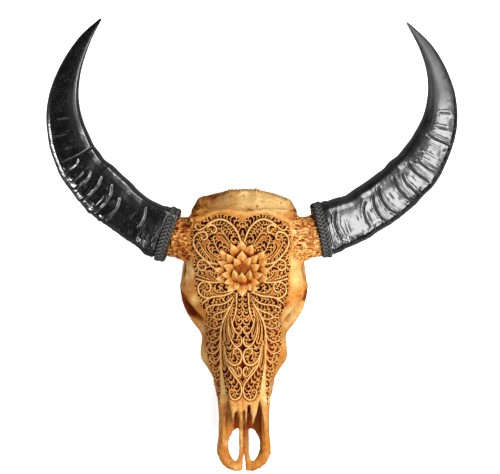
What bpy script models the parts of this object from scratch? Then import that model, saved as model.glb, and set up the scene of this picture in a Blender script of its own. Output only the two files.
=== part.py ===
"""Water buffalo skull without its lower jaw, with both horns, lying face up as it rests.

Metres, +Z up. +Y is the back of the head, -Y the muzzle and +X the right of a viewer who looks
down on the face. The origin is on the floor, midway between the outer edges of the horns. The
skull stands on the grinding surfaces of its cheek teeth and on the tips of two processes at the
back. Each horn is one solid that meets the end of its bony core, and a braided band covers the
joint.
"""

import math

import bmesh
import bpy
from mathutils import Vector

# Placing
MIDLINE_X = -0.0139  # the skull's own plane of symmetry, because the right horn reaches further
GAP = 0.0003  # between solids that touch

# Tooth rows and the processes that carry the back of the skull
TOOTH_LENGTHS = (0.016, 0.020, 0.022, 0.026, 0.029, 0.033)  # second premolar to third molar
TOOTH_HALF_WIDTHS = (0.0085, 0.0100, 0.0110, 0.0125, 0.0130, 0.0125)
TOOTH_ROW_FRONT = Vector((0.0375, -0.2420))
TOOTH_ROW_BACK = Vector((0.0560, -0.0960))
TOOTH_TOP = 0.040
BELOW_FLOOR = 0.004  # what the floor cut takes off teeth and processes

# How finely and softly the bones are blended, and how far the surface is then thinned out
BLEND_SIZE = 0.0024
BLEND_PASSES = 7
THIN_SIZE = 0.0012
FINE_SIZE = 0.0020
FINE_PASSES = 2
THINNING = 0.0255
RING_POINTS = 32
STEPS_BETWEEN = 5

# Lengthwise lofts. Each row: distance along Y, half width, height of the top, of the widest
# level and of the underside, then the fullness of the outline above and below that level
# (2 is an ellipse, less is more pointed, more is squarer).
BRAINCASE = (
    (0.0955, 0.034, 0.126, 0.100, 0.072, 2.4, 2.2),
    (0.0900, 0.060, 0.141, 0.100, 0.056, 2.4, 2.2),
    (0.0820, 0.077, 0.155, 0.098, 0.048, 2.4, 2.2),
    (0.0700, 0.087, 0.168, 0.096, 0.044, 2.4, 2.2),
    (0.0540, 0.090, 0.176, 0.096, 0.044, 2.4, 2.2),
    (0.0300, 0.080, 0.182, 0.100, 0.048, 2.4, 2.2),
    (0.0000, 0.066, 0.185, 0.110, 0.052, 2.2, 2.0),
    (-0.0400, 0.055, 0.185, 0.115, 0.060, 2.2, 2.0),
    (-0.0800, 0.045, 0.180, 0.115, 0.066, 2.2, 2.0),
    (-0.1200, 0.045, 0.170, 0.110, 0.066, 2.2, 2.0),
    (-0.1400, 0.045, 0.160, 0.105, 0.066, 2.2, 2.0),
)
FOREHEAD = (
    (0.0640, 0.076, 0.176, 0.160, 0.125, 2.6, 2.0),
    (0.0500, 0.092, 0.187, 0.158, 0.116, 2.6, 2.0),
    (0.0200, 0.100, 0.196, 0.152, 0.108, 2.5, 2.0),
    (-0.0100, 0.099, 0.200, 0.148, 0.112, 2.5, 2.0),
    (-0.0400, 0.098, 0.200, 0.146, 0.122, 2.5, 2.0),
    (-0.0620, 0.104, 0.197, 0.143, 0.126, 2.4, 2.0),
    (-0.0740, 0.109, 0.194, 0.144, 0.130, 2.3, 2.0),
    (-0.0880, 0.101, 0.190, 0.146, 0.131, 2.2, 2.0),
    (-0.1000, 0.091, 0.186, 0.145, 0.128, 2.1, 2.0),
    (-0.1120, 0.080, 0.182, 0.140, 0.114, 2.0, 2.0),
    (-0.1250, 0.070, 0.177, 0.128, 0.100, 1.9, 2.0),
    (-0.1420, 0.062, 0.170, 0.114, 0.090, 1.8, 2.0),
    (-0.1600, 0.056, 0.163, 0.106, 0.085, 1.7, 2.0),
)
FACE = (
    (-0.1120, 0.060, 0.179, 0.106, 0.062, 1.8, 2.2),
    (-0.1280, 0.068, 0.175, 0.099, 0.046, 1.7, 2.4),
    (-0.1400, 0.071, 0.171, 0.093, 0.037, 1.6, 2.6),
    (-0.1650, 0.072, 0.163, 0.086, 0.031, 1.5, 2.6),
    (-0.1880, 0.0745, 0.155, 0.080, 0.029, 1.45, 2.6),
    (-0.2030, 0.066, 0.150, 0.077, 0.031, 1.5, 2.6),
    (-0.2200, 0.055, 0.144, 0.075, 0.035, 1.6, 2.4),
    (-0.2400, 0.0475, 0.137, 0.074, 0.039, 1.8, 2.2),
    (-0.2540, 0.0455, 0.131, 0.073, 0.042, 1.9, 2.2),
    (-0.2640, 0.0450, 0.126, 0.072, 0.044, 2.0, 2.2),
)
NASALS = (
    (-0.1300, 0.030, 0.1765, 0.164, 0.150, 2.6, 2.0),
    (-0.2000, 0.029, 0.1535, 0.142, 0.130, 2.6, 2.0),
    (-0.2400, 0.0275, 0.1395, 0.131, 0.123, 2.6, 2.0),
    (-0.2600, 0.0270, 0.1316, 0.125, 0.118, 2.6, 2.0),
    (-0.2740, 0.0252, 0.1258, 0.120, 0.114, 2.6, 2.0),
)
NASAL_FLOOR = (
    (-0.2200, 0.038, 0.057, 0.050, 0.038, 3.0, 2.2),
    (-0.2700, 0.036, 0.056, 0.051, 0.041, 3.0, 2.2),
    (-0.3100, 0.033, 0.054, 0.049, 0.042, 3.0, 2.2),
    (-0.3400, 0.032, 0.050, 0.045, 0.039, 3.0, 2.2),
    (-0.3680, 0.032, 0.047, 0.042, 0.037, 3.0, 2.2),
    (-0.3780, 0.022, 0.045, 0.041, 0.037, 3.0, 2.2),
)

# Tubes with oval sections, for the side at +X. Each row: x, y, z, half width, half height.
ZYGOMATIC_ARCH = (
    (0.0560, -0.1560, 0.078, 0.012, 0.020),
    (0.0665, -0.1370, 0.082, 0.012, 0.019),
    (0.0805, -0.1220, 0.084, 0.0105, 0.015),
    (0.0940, -0.1020, 0.086, 0.0085, 0.012),
    (0.1010, -0.0780, 0.092, 0.0075, 0.011),
    (0.0990, -0.0450, 0.098, 0.0070, 0.0095),
    (0.0930, -0.0150, 0.096, 0.0080, 0.009),
    (0.0800, 0.0120, 0.090, 0.0130, 0.012),
    (0.0650, 0.0350, 0.084, 0.0150, 0.014),
)
POSTORBITAL_BAR = (
    (0.1010, -0.0680, 0.148, 0.009, 0.011),
    (0.1010, -0.0660, 0.122, 0.0075, 0.009),
    (0.1000, -0.0690, 0.096, 0.0075, 0.011),
)
PREMAXILLA = (
    (0.0375, -0.2400, 0.088, 0.0070, 0.020),
    (0.0382, -0.2640, 0.081, 0.0072, 0.021),
    (0.0378, -0.2900, 0.070, 0.0080, 0.019),
    (0.0374, -0.3150, 0.061, 0.0087, 0.015),
    (0.0376, -0.3400, 0.053, 0.0087, 0.012),
    (0.0374, -0.3560, 0.048, 0.0090, 0.010),
    (0.0310, -0.3685, 0.045, 0.0110, 0.009),
    (0.0190, -0.3745, 0.042, 0.0125, 0.008),
    (0.0110, -0.3750, 0.041, 0.0110, 0.007),
)
OUTER_PRONG = (
    (0.0185, -0.2620, 0.1260, 0.0085, 0.0048),
    (0.0176, -0.2800, 0.1185, 0.0058, 0.0036),
    (0.0164, -0.2950, 0.1120, 0.0036, 0.0028),
    (0.0155, -0.3065, 0.1072, 0.0018, 0.0020),
)
INNER_PRONG = (
    (0.0070, -0.2620, 0.1270, 0.0075, 0.0048),
    (0.0056, -0.2800, 0.1195, 0.0047, 0.0036),
    (0.0047, -0.2940, 0.1130, 0.0033, 0.0028),
    (0.0041, -0.3055, 0.1080, 0.0018, 0.0020),
)
ALVEOLAR_RIDGE = (
    (0.0385, -0.2600, 0.046, 0.0080, 0.012),
    (0.0405, -0.2300, 0.036, 0.0125, 0.013),
    (0.0470, -0.1800, 0.036, 0.0155, 0.015),
    (0.0540, -0.1200, 0.038, 0.0160, 0.016),
    (0.0560, -0.0900, 0.046, 0.0140, 0.018),
    (0.0530, -0.0720, 0.060, 0.0100, 0.015),
)
PTERYGOID_PLATE = (
    (0.0300, -0.1000, 0.060, 0.0050, 0.022),
    (0.0240, -0.0740, 0.056, 0.0036, 0.023),
    (0.0210, -0.0500, 0.058, 0.0036, 0.020),
    (0.0190, -0.0300, 0.064, 0.0045, 0.014),
)
SKULL_BASE = (
    (0.0000, -0.0500, 0.076, 0.0170, 0.013),
    (0.0000, 0.0000, 0.064, 0.0160, 0.012),
    (0.0000, 0.0350, 0.056, 0.0190, 0.011),
    (0.0000, 0.0700, 0.054, 0.0230, 0.011),
)
JUGULAR_PROCESS = (
    (0.0600, 0.0480, 0.078, 0.0180, 0.022),
    (0.0570, 0.0530, 0.048, 0.0110, 0.016),
    (0.0535, 0.0565, 0.020, 0.0080, 0.0115),
    (0.0515, 0.0575, -BELOW_FLOOR, 0.0065, 0.0085),
)

# Rounded masses, for the side at +X: centre and radii.
CONDYLE = (Vector((0.0275, 0.0750, 0.0520)), Vector((0.0170, 0.0190, 0.0240)))
AUDITORY_BULLA = (Vector((0.0400, 0.0200, 0.0500)), Vector((0.0130, 0.0180, 0.0150)))
MASTOID = (Vector((0.0740, 0.0560, 0.0860)), Vector((0.0170, 0.0180, 0.0300)))
MAXILLARY_TUBER = (Vector((0.0600, -0.1080, 0.0700)), Vector((0.0300, 0.0360, 0.0260)))
FACIAL_TUBEROSITY = (Vector((0.0620, -0.1760, 0.0800)), Vector((0.0125, 0.0240, 0.0130)))
ORBIT = (Vector((0.0920, -0.1035, 0.1170)), Vector((0.0460, 0.0285, 0.0260)))
NUCHAL_KNOB = (Vector((0.0000, 0.0820, 0.1330)), Vector((0.0200, 0.0120, 0.0160)))

# Hollows
NASAL_CAVITY = (
    (-0.1900, 0.010, 0.096, 0.085, 0.070, 2.2, 2.2),
    (-0.2100, 0.022, 0.112, 0.085, 0.060, 2.2, 2.4),
    (-0.2400, 0.029, 0.121, 0.085, 0.057, 2.2, 2.6),
    (-0.2660, 0.0315, 0.1165, 0.085, 0.056, 2.2, 2.6),
    (-0.2900, 0.0300, 0.1080, 0.082, 0.056, 2.2, 2.6),
)
PALATE_VAULT = (
    (-0.2620, 0.020, 0.040, 0.020, -0.010, 2.4, 2.0),
    (-0.2300, 0.027, 0.046, 0.020, -0.010, 2.6, 2.0),
    (-0.1600, 0.032, 0.049, 0.020, -0.010, 2.6, 2.0),
    (-0.0950, 0.035, 0.050, 0.020, -0.010, 2.6, 2.0),
    (-0.0600, 0.035, 0.046, 0.020, -0.010, 2.6, 2.0),
)
CHOANAE = (
    (-0.1250, 0.012, 0.072, 0.058, 0.046, 2.2, 2.2),
    (-0.1000, 0.018, 0.082, 0.056, 0.030, 2.2, 2.2),
    (-0.0700, 0.0185, 0.080, 0.050, 0.020, 2.2, 2.2),
    (-0.0300, 0.0150, 0.064, 0.045, 0.020, 2.2, 2.2),
    (-0.0100, 0.0100, 0.052, 0.040, 0.020, 2.2, 2.2),
)
PALATINE_FISSURE = (
    (0.0095, -0.3070, 0.050, 0.0012, 0.030),
    (0.0118, -0.3160, 0.050, 0.0036, 0.030),
    (0.0160, -0.3270, 0.050, 0.0080, 0.030),
    (0.0176, -0.3400, 0.050, 0.0096, 0.030),
    (0.0164, -0.3540, 0.050, 0.0080, 0.030),
    (0.0148, -0.3660, 0.050, 0.0015, 0.030),
)
FRONT_SLIT = (
    (0.0000, -0.3500, 0.040, 0.0008, 0.030),
    (0.0000, -0.3620, 0.040, 0.0022, 0.030),
    (0.0000, -0.3760, 0.040, 0.0027, 0.030),
    (0.0000, -0.3950, 0.040, 0.0036, 0.030),
)
FORAMEN_MAGNUM = (
    (0.1100, 0.018, 0.086, 0.070, 0.056, 2.0, 2.0),
    (0.0800, 0.017, 0.085, 0.070, 0.056, 2.0, 2.0),
    (0.0500, 0.012, 0.080, 0.070, 0.060, 2.0, 2.0),
)

# Horns: x from the midline, y, z, half width seen from above, half thickness.
LEFT_HORN = (
    (-0.1213, 0.0172, 0.144, 0.0405, 0.0265),
    (-0.1480, 0.0268, 0.141, 0.0430, 0.0285),
    (-0.1885, 0.0512, 0.133, 0.0412, 0.0285),
    (-0.2370, 0.0915, 0.124, 0.0415, 0.0275),
    (-0.2805, 0.1403, 0.116, 0.0385, 0.0245),
    (-0.3024, 0.1982, 0.114, 0.0330, 0.0210),
    (-0.3067, 0.2480, 0.118, 0.0266, 0.0175),
    (-0.2955, 0.2980, 0.127, 0.0190, 0.0130),
    (-0.2715, 0.3480, 0.140, 0.0110, 0.0085),
    (-0.2425, 0.3855, 0.153, 0.0018, 0.0018),
)
RIGHT_HORN = (
    (0.1230, 0.0255, 0.144, 0.0405, 0.0265),
    (0.1510, 0.0325, 0.141, 0.0435, 0.0285),
    (0.1975, 0.0528, 0.133, 0.0415, 0.0285),
    (0.2474, 0.0865, 0.124, 0.0425, 0.0275),
    (0.2958, 0.1340, 0.116, 0.0395, 0.0245),
    (0.3279, 0.1940, 0.114, 0.0330, 0.0210),
    (0.3360, 0.2450, 0.118, 0.0256, 0.0170),
    (0.3283, 0.2930, 0.127, 0.0178, 0.0125),
    (0.3085, 0.3370, 0.139, 0.0110, 0.0085),
    (0.2765, 0.3790, 0.152, 0.0018, 0.0018),
)
HORN_POINTS = 20
HORN_STEPS = 4
HORN_TOP_FULLNESS = 2.5  # the side that faces the camera is the flatter one
HORN_BACK_FULLNESS = 1.9

# Bony cores between the forehead and the horns. They run past the joint and are cut off there.
LEFT_CORE = (
    (-0.0700, 0.0060, 0.150, 0.0500, 0.034),
    (-0.1020, 0.0125, 0.148, 0.0355, 0.0265),
    (-0.1340, 0.0185, 0.142, 0.0345, 0.0255),
)
RIGHT_CORE = (
    (0.0700, 0.0060, 0.150, 0.0500, 0.034),
    (0.1040, 0.0135, 0.148, 0.0355, 0.0265),
    (0.1360, 0.0205, 0.142, 0.0375, 0.0255),
)

# Braided band over the joint
BAND_LENGTH = 0.0165
BAND_THICKNESS = 0.0048
BAND_ROUNDING = 0.0020
BAND_CLEARANCE = 0.0006


def clear_scene():
    for obj in list(bpy.data.objects):
        bpy.data.objects.remove(obj, do_unlink=True)


def new_collection(name):
    group = bpy.data.collections.new(name)
    bpy.context.scene.collection.children.link(group)
    return group


def new_material(name, colour, roughness):
    material = bpy.data.materials.new(name)
    material.use_nodes = True
    shader = material.node_tree.nodes["Principled BSDF"]
    shader.inputs["Base Color"].default_value = (*colour, 1.0)
    shader.inputs["Roughness"].default_value = roughness
    shader.inputs["Metallic"].default_value = 0.0
    return material


def between(before, here, there, after, t):
    """A Catmull-Rom value between here and there."""
    slope_here = (there - before) / 2
    slope_there = (after - here) / 2
    lift = 2 * t**3 - 3 * t**2 + 1
    return (
        lift * here
        + (t**3 - 2 * t**2 + t) * slope_here
        + (1 - lift) * there
        + (t**3 - t**2) * slope_there
    )


def smoothed(rows, steps):
    """The rows, with steps - 1 smoothly placed rows in each gap."""
    last = len(rows) - 1
    result = []
    for i in range(last):
        four = (rows[max(i - 1, 0)], rows[i], rows[i + 1], rows[min(i + 2, last)])
        for k in range(steps):
            result.append(tuple(between(*values, k / steps) for values in zip(*four)))
    result.append(rows[last])
    return result


def power_of(value, fullness):
    return math.copysign(abs(value) ** (2 / fullness), value)


def oval_point(angle, half_width, above, below, full_above, full_below):
    """A point on an outline whose upper and lower halves differ in height and fullness."""
    rise = math.sin(angle)
    fullness = full_above if rise >= 0 else full_below
    height = above if rise >= 0 else below
    return half_width * power_of(math.cos(angle), fullness), height * power_of(rise, fullness)


def angles(count):
    return [2 * math.pi * i / count for i in range(count)]


def add_loft(mesh, rings):
    """A closed shell through rings of equal length, with flat ends."""
    rows = [[mesh.verts.new(point) for point in ring] for ring in rings]
    count = len(rows[0])
    for near, far in zip(rows, rows[1:]):
        for i in range(count):
            j = (i + 1) % count
            mesh.faces.new((near[i], near[j], far[j], far[i]))
    mesh.faces.new(rows[0])
    mesh.faces.new(rows[-1])


def add_lengthwise(mesh, rows):
    """A loft along Y, symmetric about the midline."""
    rings = []
    for y, half_width, top, waist, under, full_top, full_under in smoothed(rows, STEPS_BETWEEN):
        ring = []
        for angle in angles(RING_POINTS):
            x, z = oval_point(
                angle, half_width, top - waist, waist - under, full_top, full_under
            )
            ring.append(Vector((x, y, waist + z)))
        rings.append(ring)
    add_loft(mesh, rings)


def path_frames(centres):
    """For each point of a path, its direction, its level side and its upright."""
    frames = []
    last = len(centres) - 1
    for i in range(last + 1):
        ahead = (centres[min(i + 1, last)] - centres[max(i - 1, 0)]).normalized()
        side = ahead.cross(Vector((0, 0, 1)))
        if side.length < 0.3:
            side = Vector((1, 0, 0))
        side = (side - side.dot(ahead) * ahead).normalized()
        frames.append((ahead, side, side.cross(ahead)))
    return frames


def add_tube(mesh, rows, sign=1):
    """A tube with oval sections through rows of x, y, z, half width and half height."""
    rows = smoothed([(sign * row[0], *row[1:]) for row in rows], STEPS_BETWEEN)
    centres = [Vector(row[:3]) for row in rows]
    rings = []
    for row, centre, (_, side, up) in zip(rows, centres, path_frames(centres)):
        rings.append(
            [
                centre + side * row[3] * math.cos(angle) + up * row[4] * math.sin(angle)
                for angle in angles(RING_POINTS // 2)
            ]
        )
    add_loft(mesh, rings)


def add_mass(mesh, mass, sign=1):
    """An ellipsoid."""
    centre, radii = mass
    made = bmesh.ops.create_uvsphere(mesh, u_segments=24, v_segments=16, radius=1.0)
    for vert in made["verts"]:
        vert.co = Vector(
            (
                sign * centre.x + radii.x * vert.co.x,
                centre.y + radii.y * vert.co.y,
                centre.z + radii.z * vert.co.z,
            )
        )


def add_teeth(mesh, sign):
    """One row of cheek teeth, each an upright column with a rounded square outline."""
    row = TOOTH_ROW_BACK - TOOTH_ROW_FRONT
    lengthwise = row.normalized()
    crosswise = Vector((-lengthwise.y, lengthwise.x))
    spare = row.length / sum(TOOTH_LENGTHS)
    reached = 0.0
    for length, half_width in zip(TOOTH_LENGTHS, TOOTH_HALF_WIDTHS):
        length *= spare
        centre = TOOTH_ROW_FRONT + lengthwise * (reached + length / 2)
        reached += length
        rings = []
        for z in (-BELOW_FLOOR, TOOTH_TOP / 2, TOOTH_TOP):
            ring = []
            for angle in angles(RING_POINTS // 2):
                across, along = oval_point(angle, half_width, length / 2, length / 2, 3.4, 3.4)
                point = centre + crosswise * across + lengthwise * along
                ring.append(Vector((sign * point.x, point.y, z)))
            rings.append(ring)
        add_loft(mesh, rings)


def mesh_object(name, mesh, group, parent):
    mesh.normal_update()
    bmesh.ops.recalc_face_normals(mesh, faces=mesh.faces[:])
    data = bpy.data.meshes.new(name)
    mesh.to_mesh(data)
    mesh.free()
    obj = bpy.data.objects.new(name, data)
    group.objects.link(obj)
    obj.parent = parent
    return obj


def guide(obj):
    """Keeps a cutter out of the render."""
    obj.hide_render = True
    obj.display_type = "WIRE"
    return obj


def lengthwise_cutter(name, rows, group, parent):
    mesh = bmesh.new()
    add_lengthwise(mesh, rows)
    return guide(mesh_object(name, mesh, group, parent))


def box_cutter(name, centre, ahead, size, group, parent):
    """A box from centre on, in the direction ahead, with its near face square to that."""
    mesh = bmesh.new()
    bmesh.ops.create_cube(mesh, size=size)
    turn = ahead.to_track_quat("X", "Z")
    for vert in mesh.verts:
        vert.co = turn @ (vert.co + Vector((size / 2, 0, 0))) + centre
    return guide(mesh_object(name, mesh, group, parent))


def add_thick_bones(mesh):
    for rows in (BRAINCASE, FOREHEAD, FACE, NASALS, NASAL_FLOOR):
        add_lengthwise(mesh, rows)
    for rows in (SKULL_BASE, LEFT_CORE, RIGHT_CORE):
        add_tube(mesh, rows)
    add_mass(mesh, NUCHAL_KNOB)
    for sign in (-1, 1):
        for rows in (ZYGOMATIC_ARCH, POSTORBITAL_BAR, PREMAXILLA, ALVEOLAR_RIDGE, JUGULAR_PROCESS):
            add_tube(mesh, rows, sign)
        for mass in (CONDYLE, AUDITORY_BULLA, MASTOID, MAXILLARY_TUBER, FACIAL_TUBEROSITY):
            add_mass(mesh, mass, sign)
        add_teeth(mesh, sign)


def add_thin_bones(mesh):
    for sign in (-1, 1):
        for rows in (PTERYGOID_PLATE, OUTER_PRONG, INNER_PRONG):
            add_tube(mesh, rows, sign)


def add_slots(mesh):
    add_tube(mesh, FRONT_SLIT)
    for sign in (-1, 1):
        add_tube(mesh, PALATINE_FISSURE, sign)
        add_mass(mesh, ORBIT, sign)


def blend(obj, size, passes):
    """Joins the shells of a mesh into one surface and rounds its creases."""
    remesh = obj.modifiers.new("Blend", "REMESH")
    remesh.mode = "VOXEL"
    remesh.voxel_size = size
    smooth = obj.modifiers.new("Round", "SMOOTH")
    smooth.factor = 0.5
    smooth.iterations = passes


def cut(obj, cutter):
    boolean = obj.modifiers.new("Cut " + cutter.name, "BOOLEAN")
    boolean.operation = "DIFFERENCE"
    boolean.solver = "EXACT"
    boolean.object = cutter


def join_shape(obj, other):
    boolean = obj.modifiers.new("Join " + other.name, "BOOLEAN")
    boolean.operation = "UNION"
    boolean.solver = "EXACT"
    boolean.object = other


def built(name, add_shapes, group, parent):
    mesh = bmesh.new()
    add_shapes(mesh)
    return mesh_object(name, mesh, group, parent)


def make_cranium(parts, cutters, skull, material):
    cranium = built("cranium", add_thick_bones, parts, skull)
    blend(cranium, BLEND_SIZE, BLEND_PASSES)
    for name, rows in (
        ("nasal_cavity", NASAL_CAVITY),
        ("palate_vault", PALATE_VAULT),
        ("choanae", CHOANAE),
        ("foramen_magnum", FORAMEN_MAGNUM),
    ):
        cut(cranium, lengthwise_cutter(name, rows, cutters, skull))
    cut(cranium, guide(built("orbits_and_slots", add_slots, cutters, skull)))
    thin_bones = guide(built("thin_bones", add_thin_bones, cutters, skull))
    blend(thin_bones, THIN_SIZE, 1)
    join_shape(cranium, thin_bones)
    blend(cranium, FINE_SIZE, FINE_PASSES)
    thin = cranium.modifiers.new("Thin out", "DECIMATE")
    thin.ratio = THINNING
    floor = Vector((0, 0, 0))
    cut(cranium, box_cutter("floor_cut", floor, Vector((0, 0, -1)), 1.0, cutters, skull))
    for name, horn in (("left_core_end", LEFT_HORN), ("right_core_end", RIGHT_HORN)):
        start, after = horn_rows(horn)[:2]
        joint = Vector(start[:3])
        outward = (Vector(after[:3]) - joint).normalized()
        cut(cranium, box_cutter(name, joint - outward * GAP, outward, 0.12, cutters, skull))
    cranium.data.materials.append(material)
    cranium.data.shade_smooth()
    return cranium


def horn_rows(horn):
    return smoothed(horn, HORN_STEPS)


def horn_ring(row, side, up, spread=0.0):
    """An outline of the horn, flatter above than below; spread moves it outwards."""
    centre = Vector(row[:3])
    ring = []
    for angle in angles(HORN_POINTS):
        across, rise = oval_point(
            angle,
            row[3] + spread,
            row[4] + spread,
            row[4] + spread,
            HORN_TOP_FULLNESS,
            HORN_BACK_FULLNESS,
        )
        ring.append(centre + side * across + up * rise)
    return ring


def make_horn(name, horn, parts, skull, material):
    rows = horn_rows(horn)
    centres = [Vector(row[:3]) for row in rows]
    mesh = bmesh.new()
    rings = [
        horn_ring(row, side, up) for row, (_, side, up) in zip(rows, path_frames(centres))
    ]
    add_loft(mesh, rings)
    obj = mesh_object(name, mesh, parts, skull)
    obj.data.materials.append(material)
    obj.data.shade_smooth()
    obj.data.set_sharp_from_angle(angle=math.radians(50))
    return obj


def row_at(rows, distance):
    """The horn's row at a distance from its base, measured along the centre line."""
    for near, far in zip(rows, rows[1:]):
        step = (Vector(far[:3]) - Vector(near[:3])).length
        if distance <= step:
            return tuple(a + (b - a) * distance / step for a, b in zip(near, far))
        distance -= step
    return rows[-1]


def make_band(name, horn, parts, skull, material):
    """A closed ring that lies round the horn's base."""
    rows = horn_rows(horn)
    centres = [Vector(row[:3]) for row in rows]
    _, side, up = path_frames(centres)[0]
    profile = (
        (0.0, 0.0),
        (0.0, BAND_THICKNESS - BAND_ROUNDING),
        (BAND_ROUNDING, BAND_THICKNESS),
        (BAND_LENGTH - BAND_ROUNDING, BAND_THICKNESS),
        (BAND_LENGTH, BAND_THICKNESS - BAND_ROUNDING),
        (BAND_LENGTH, 0.0),
    )
    mesh = bmesh.new()
    loops = []
    for along, out in profile:
        ring = horn_ring(row_at(rows, along), side, up, BAND_CLEARANCE + out)
        loops.append([mesh.verts.new(point) for point in ring])
    for near, far in zip(loops, loops[1:] + loops[:1]):
        for i in range(HORN_POINTS):
            j = (i + 1) % HORN_POINTS
            mesh.faces.new((near[i], near[j], far[j], far[i]))
    obj = mesh_object(name, mesh, parts, skull)
    obj.data.materials.append(material)
    obj.data.shade_smooth()
    obj.data.set_sharp_from_angle(angle=math.radians(50))
    return obj


def main():
    clear_scene()
    parts = new_collection("water_buffalo_skull")
    cutters = new_collection("cutters")
    skull = bpy.data.objects.new("skull_midline", None)
    skull.location = (MIDLINE_X, 0, 0)
    parts.objects.link(skull)

    bone = new_material("old_bone", (0.56, 0.31, 0.11), 0.55)
    keratin = new_material("black_horn", (0.014, 0.014, 0.015), 0.32)
    cord = new_material("dark_cord", (0.018, 0.018, 0.020), 0.75)

    make_cranium(parts, cutters, skull, bone)
    make_horn("horn_left", LEFT_HORN, parts, skull, keratin)
    make_horn("horn_right", RIGHT_HORN, parts, skull, keratin)
    make_band("band_left", LEFT_HORN, parts, skull, cord)
    make_band("band_right", RIGHT_HORN, parts, skull, cord)


main()
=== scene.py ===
import math

import bpy
import numpy as np
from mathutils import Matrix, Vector, geometry
from mathutils.bvhtree import BVHTree


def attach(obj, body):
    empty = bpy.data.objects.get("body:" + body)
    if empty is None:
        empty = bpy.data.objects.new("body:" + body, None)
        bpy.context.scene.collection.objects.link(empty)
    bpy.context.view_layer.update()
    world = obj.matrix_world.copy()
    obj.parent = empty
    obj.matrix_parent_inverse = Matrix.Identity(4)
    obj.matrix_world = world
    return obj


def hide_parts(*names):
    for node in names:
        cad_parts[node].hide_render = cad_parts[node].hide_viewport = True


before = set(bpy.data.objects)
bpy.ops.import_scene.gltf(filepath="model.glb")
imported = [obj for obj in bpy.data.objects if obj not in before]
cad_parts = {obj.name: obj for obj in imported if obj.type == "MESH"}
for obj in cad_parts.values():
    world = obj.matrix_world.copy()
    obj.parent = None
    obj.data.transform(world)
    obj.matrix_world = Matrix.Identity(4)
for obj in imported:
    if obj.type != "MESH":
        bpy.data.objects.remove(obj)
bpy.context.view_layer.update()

# ---------------------------------------------------------------------------------------------
# The skull: dry bone without its lower jaw. It was boiled clean, dried, and rubbed with a golden
# varnish that has gone dark red-brown in the hollows, deepened there by painted shade, and stayed pale where
# the bone is dense.
# Lengths in the sculpting are millimetres; u is the distance from the midline, v runs backwards.

MIDLINE = -0.0139                        # x of the skull's middle, in metres
SKULL_VOXEL = 0.0011
MOST_FACES = 196000


def pick(*pieces):
    """Selects these pieces alone, with the first one active."""
    bpy.ops.object.select_all(action="DESELECT")
    for piece in pieces:
        piece.select_set(True)
    bpy.context.view_layer.objects.active = pieces[0]


skull = bpy.data.objects.new("skull_bone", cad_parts["cranium"].data.copy())
bpy.context.collection.objects.link(skull)
skull.data.materials.clear()
pick(skull)
bpy.ops.object.mode_set(mode="EDIT")
bpy.ops.mesh.select_all(action="SELECT")
bpy.ops.mesh.remove_doubles(threshold=0.00002)
bpy.ops.object.mode_set(mode="OBJECT")
skin = skull.modifiers.new("even_skin", "REMESH")
skin.mode = "VOXEL"
skin.voxel_size = SKULL_VOXEL
bpy.ops.object.modifier_apply(modifier="even_skin")


def points_of(mesh):
    points = np.empty(len(mesh.vertices) * 3)
    mesh.vertices.foreach_get("co", points)
    return points.reshape(-1, 3)


def normals_of(mesh):
    normals = np.empty(len(mesh.vertices) * 3, np.float32)
    mesh.vertex_normals.foreach_get("vector", normals)
    return normals.reshape(-1, 3).astype(float)


def put_points(mesh, points):
    mesh.vertices.foreach_set("co", np.ascontiguousarray(points, dtype=np.float32).ravel())
    mesh.update()


def smooth(value, start, end):
    """0 before start, 1 after end, and a soft step between them."""
    part = np.clip((value - start) / (end - start), 0, 1)
    return part * part * (3 - 2 * part)


def bell(off, width):
    """1 in the middle, falling softly to nothing about two widths off."""
    return np.exp(-((off / width) ** 2))


def lumps(points, size, seed, octaves=1):
    """Soft random heights between -1 and 1, about size apart."""
    total, shares = np.zeros(len(points)), 0.0
    for octave in range(octaves):
        scaled = points / size * 2**octave + 31.7 * (octave + 1) + 1000
        cell = np.floor(scaled).astype(np.int64)
        part = scaled - cell
        part = part * part * (3 - 2 * part)
        for corner in np.ndindex(2, 2, 2):
            at = cell + corner
            key = (at[:, 0] * 73856093) ^ (at[:, 1] * 19349663) ^ (at[:, 2] * 83492791) ^ (seed * 26544357)
            key = (key ^ (key >> 13)) * 1274126177
            height = ((key ^ (key >> 16)) & 0xFFFF) / 32767.5 - 1
            weight = np.prod(np.where(corner, part, 1 - part), axis=1)
            total += height * weight / 2**octave
        shares += 1 / 2**octave
    return total / shares


def soften(mesh, points, passes, share=0.5, mask=None):
    """Moves each point towards the middle of its neighbours."""
    edges = np.empty(len(mesh.edges) * 2, np.int64)
    mesh.edges.foreach_get("vertices", edges)
    one, other = edges.reshape(-1, 2).T
    count = np.bincount(np.concatenate([one, other]), minlength=len(points))[:, None]
    for _ in range(passes):
        total = np.column_stack([
            np.bincount(one, points[other, axis], len(points))
            + np.bincount(other, points[one, axis], len(points))
            for axis in range(3)
        ])
        step = (total / np.maximum(count, 1) - points) * share
        points = points + (step if mask is None else step * mask[:, None])
    return points


def in_mm(points):
    """The u, v and height of each point, in millimetres."""
    return (points[:, 0] - MIDLINE) * 1000, points[:, 1] * 1000, points[:, 2] * 1000


def placed(u, v, height):
    """Points at u and v in millimetres, at heights in metres."""
    return np.column_stack([u / 1000 + MIDLINE, v / 1000, height])


def unit(ways):
    return ways / np.linalg.norm(ways, axis=1)[:, None]


# The facets of the plain shape are rounded away, less so on the thin tips of the nose
points = points_of(skull.data)
u, v, z = in_mm(points)
points = soften(skull.data, points, 26, 0.5, 0.12 + 0.88 * smooth(v, -262, -250))


def line_at(u, line):
    """The height of a line through u, v points, at any u."""
    return np.interp(u, *np.array(line, float).T)


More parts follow.
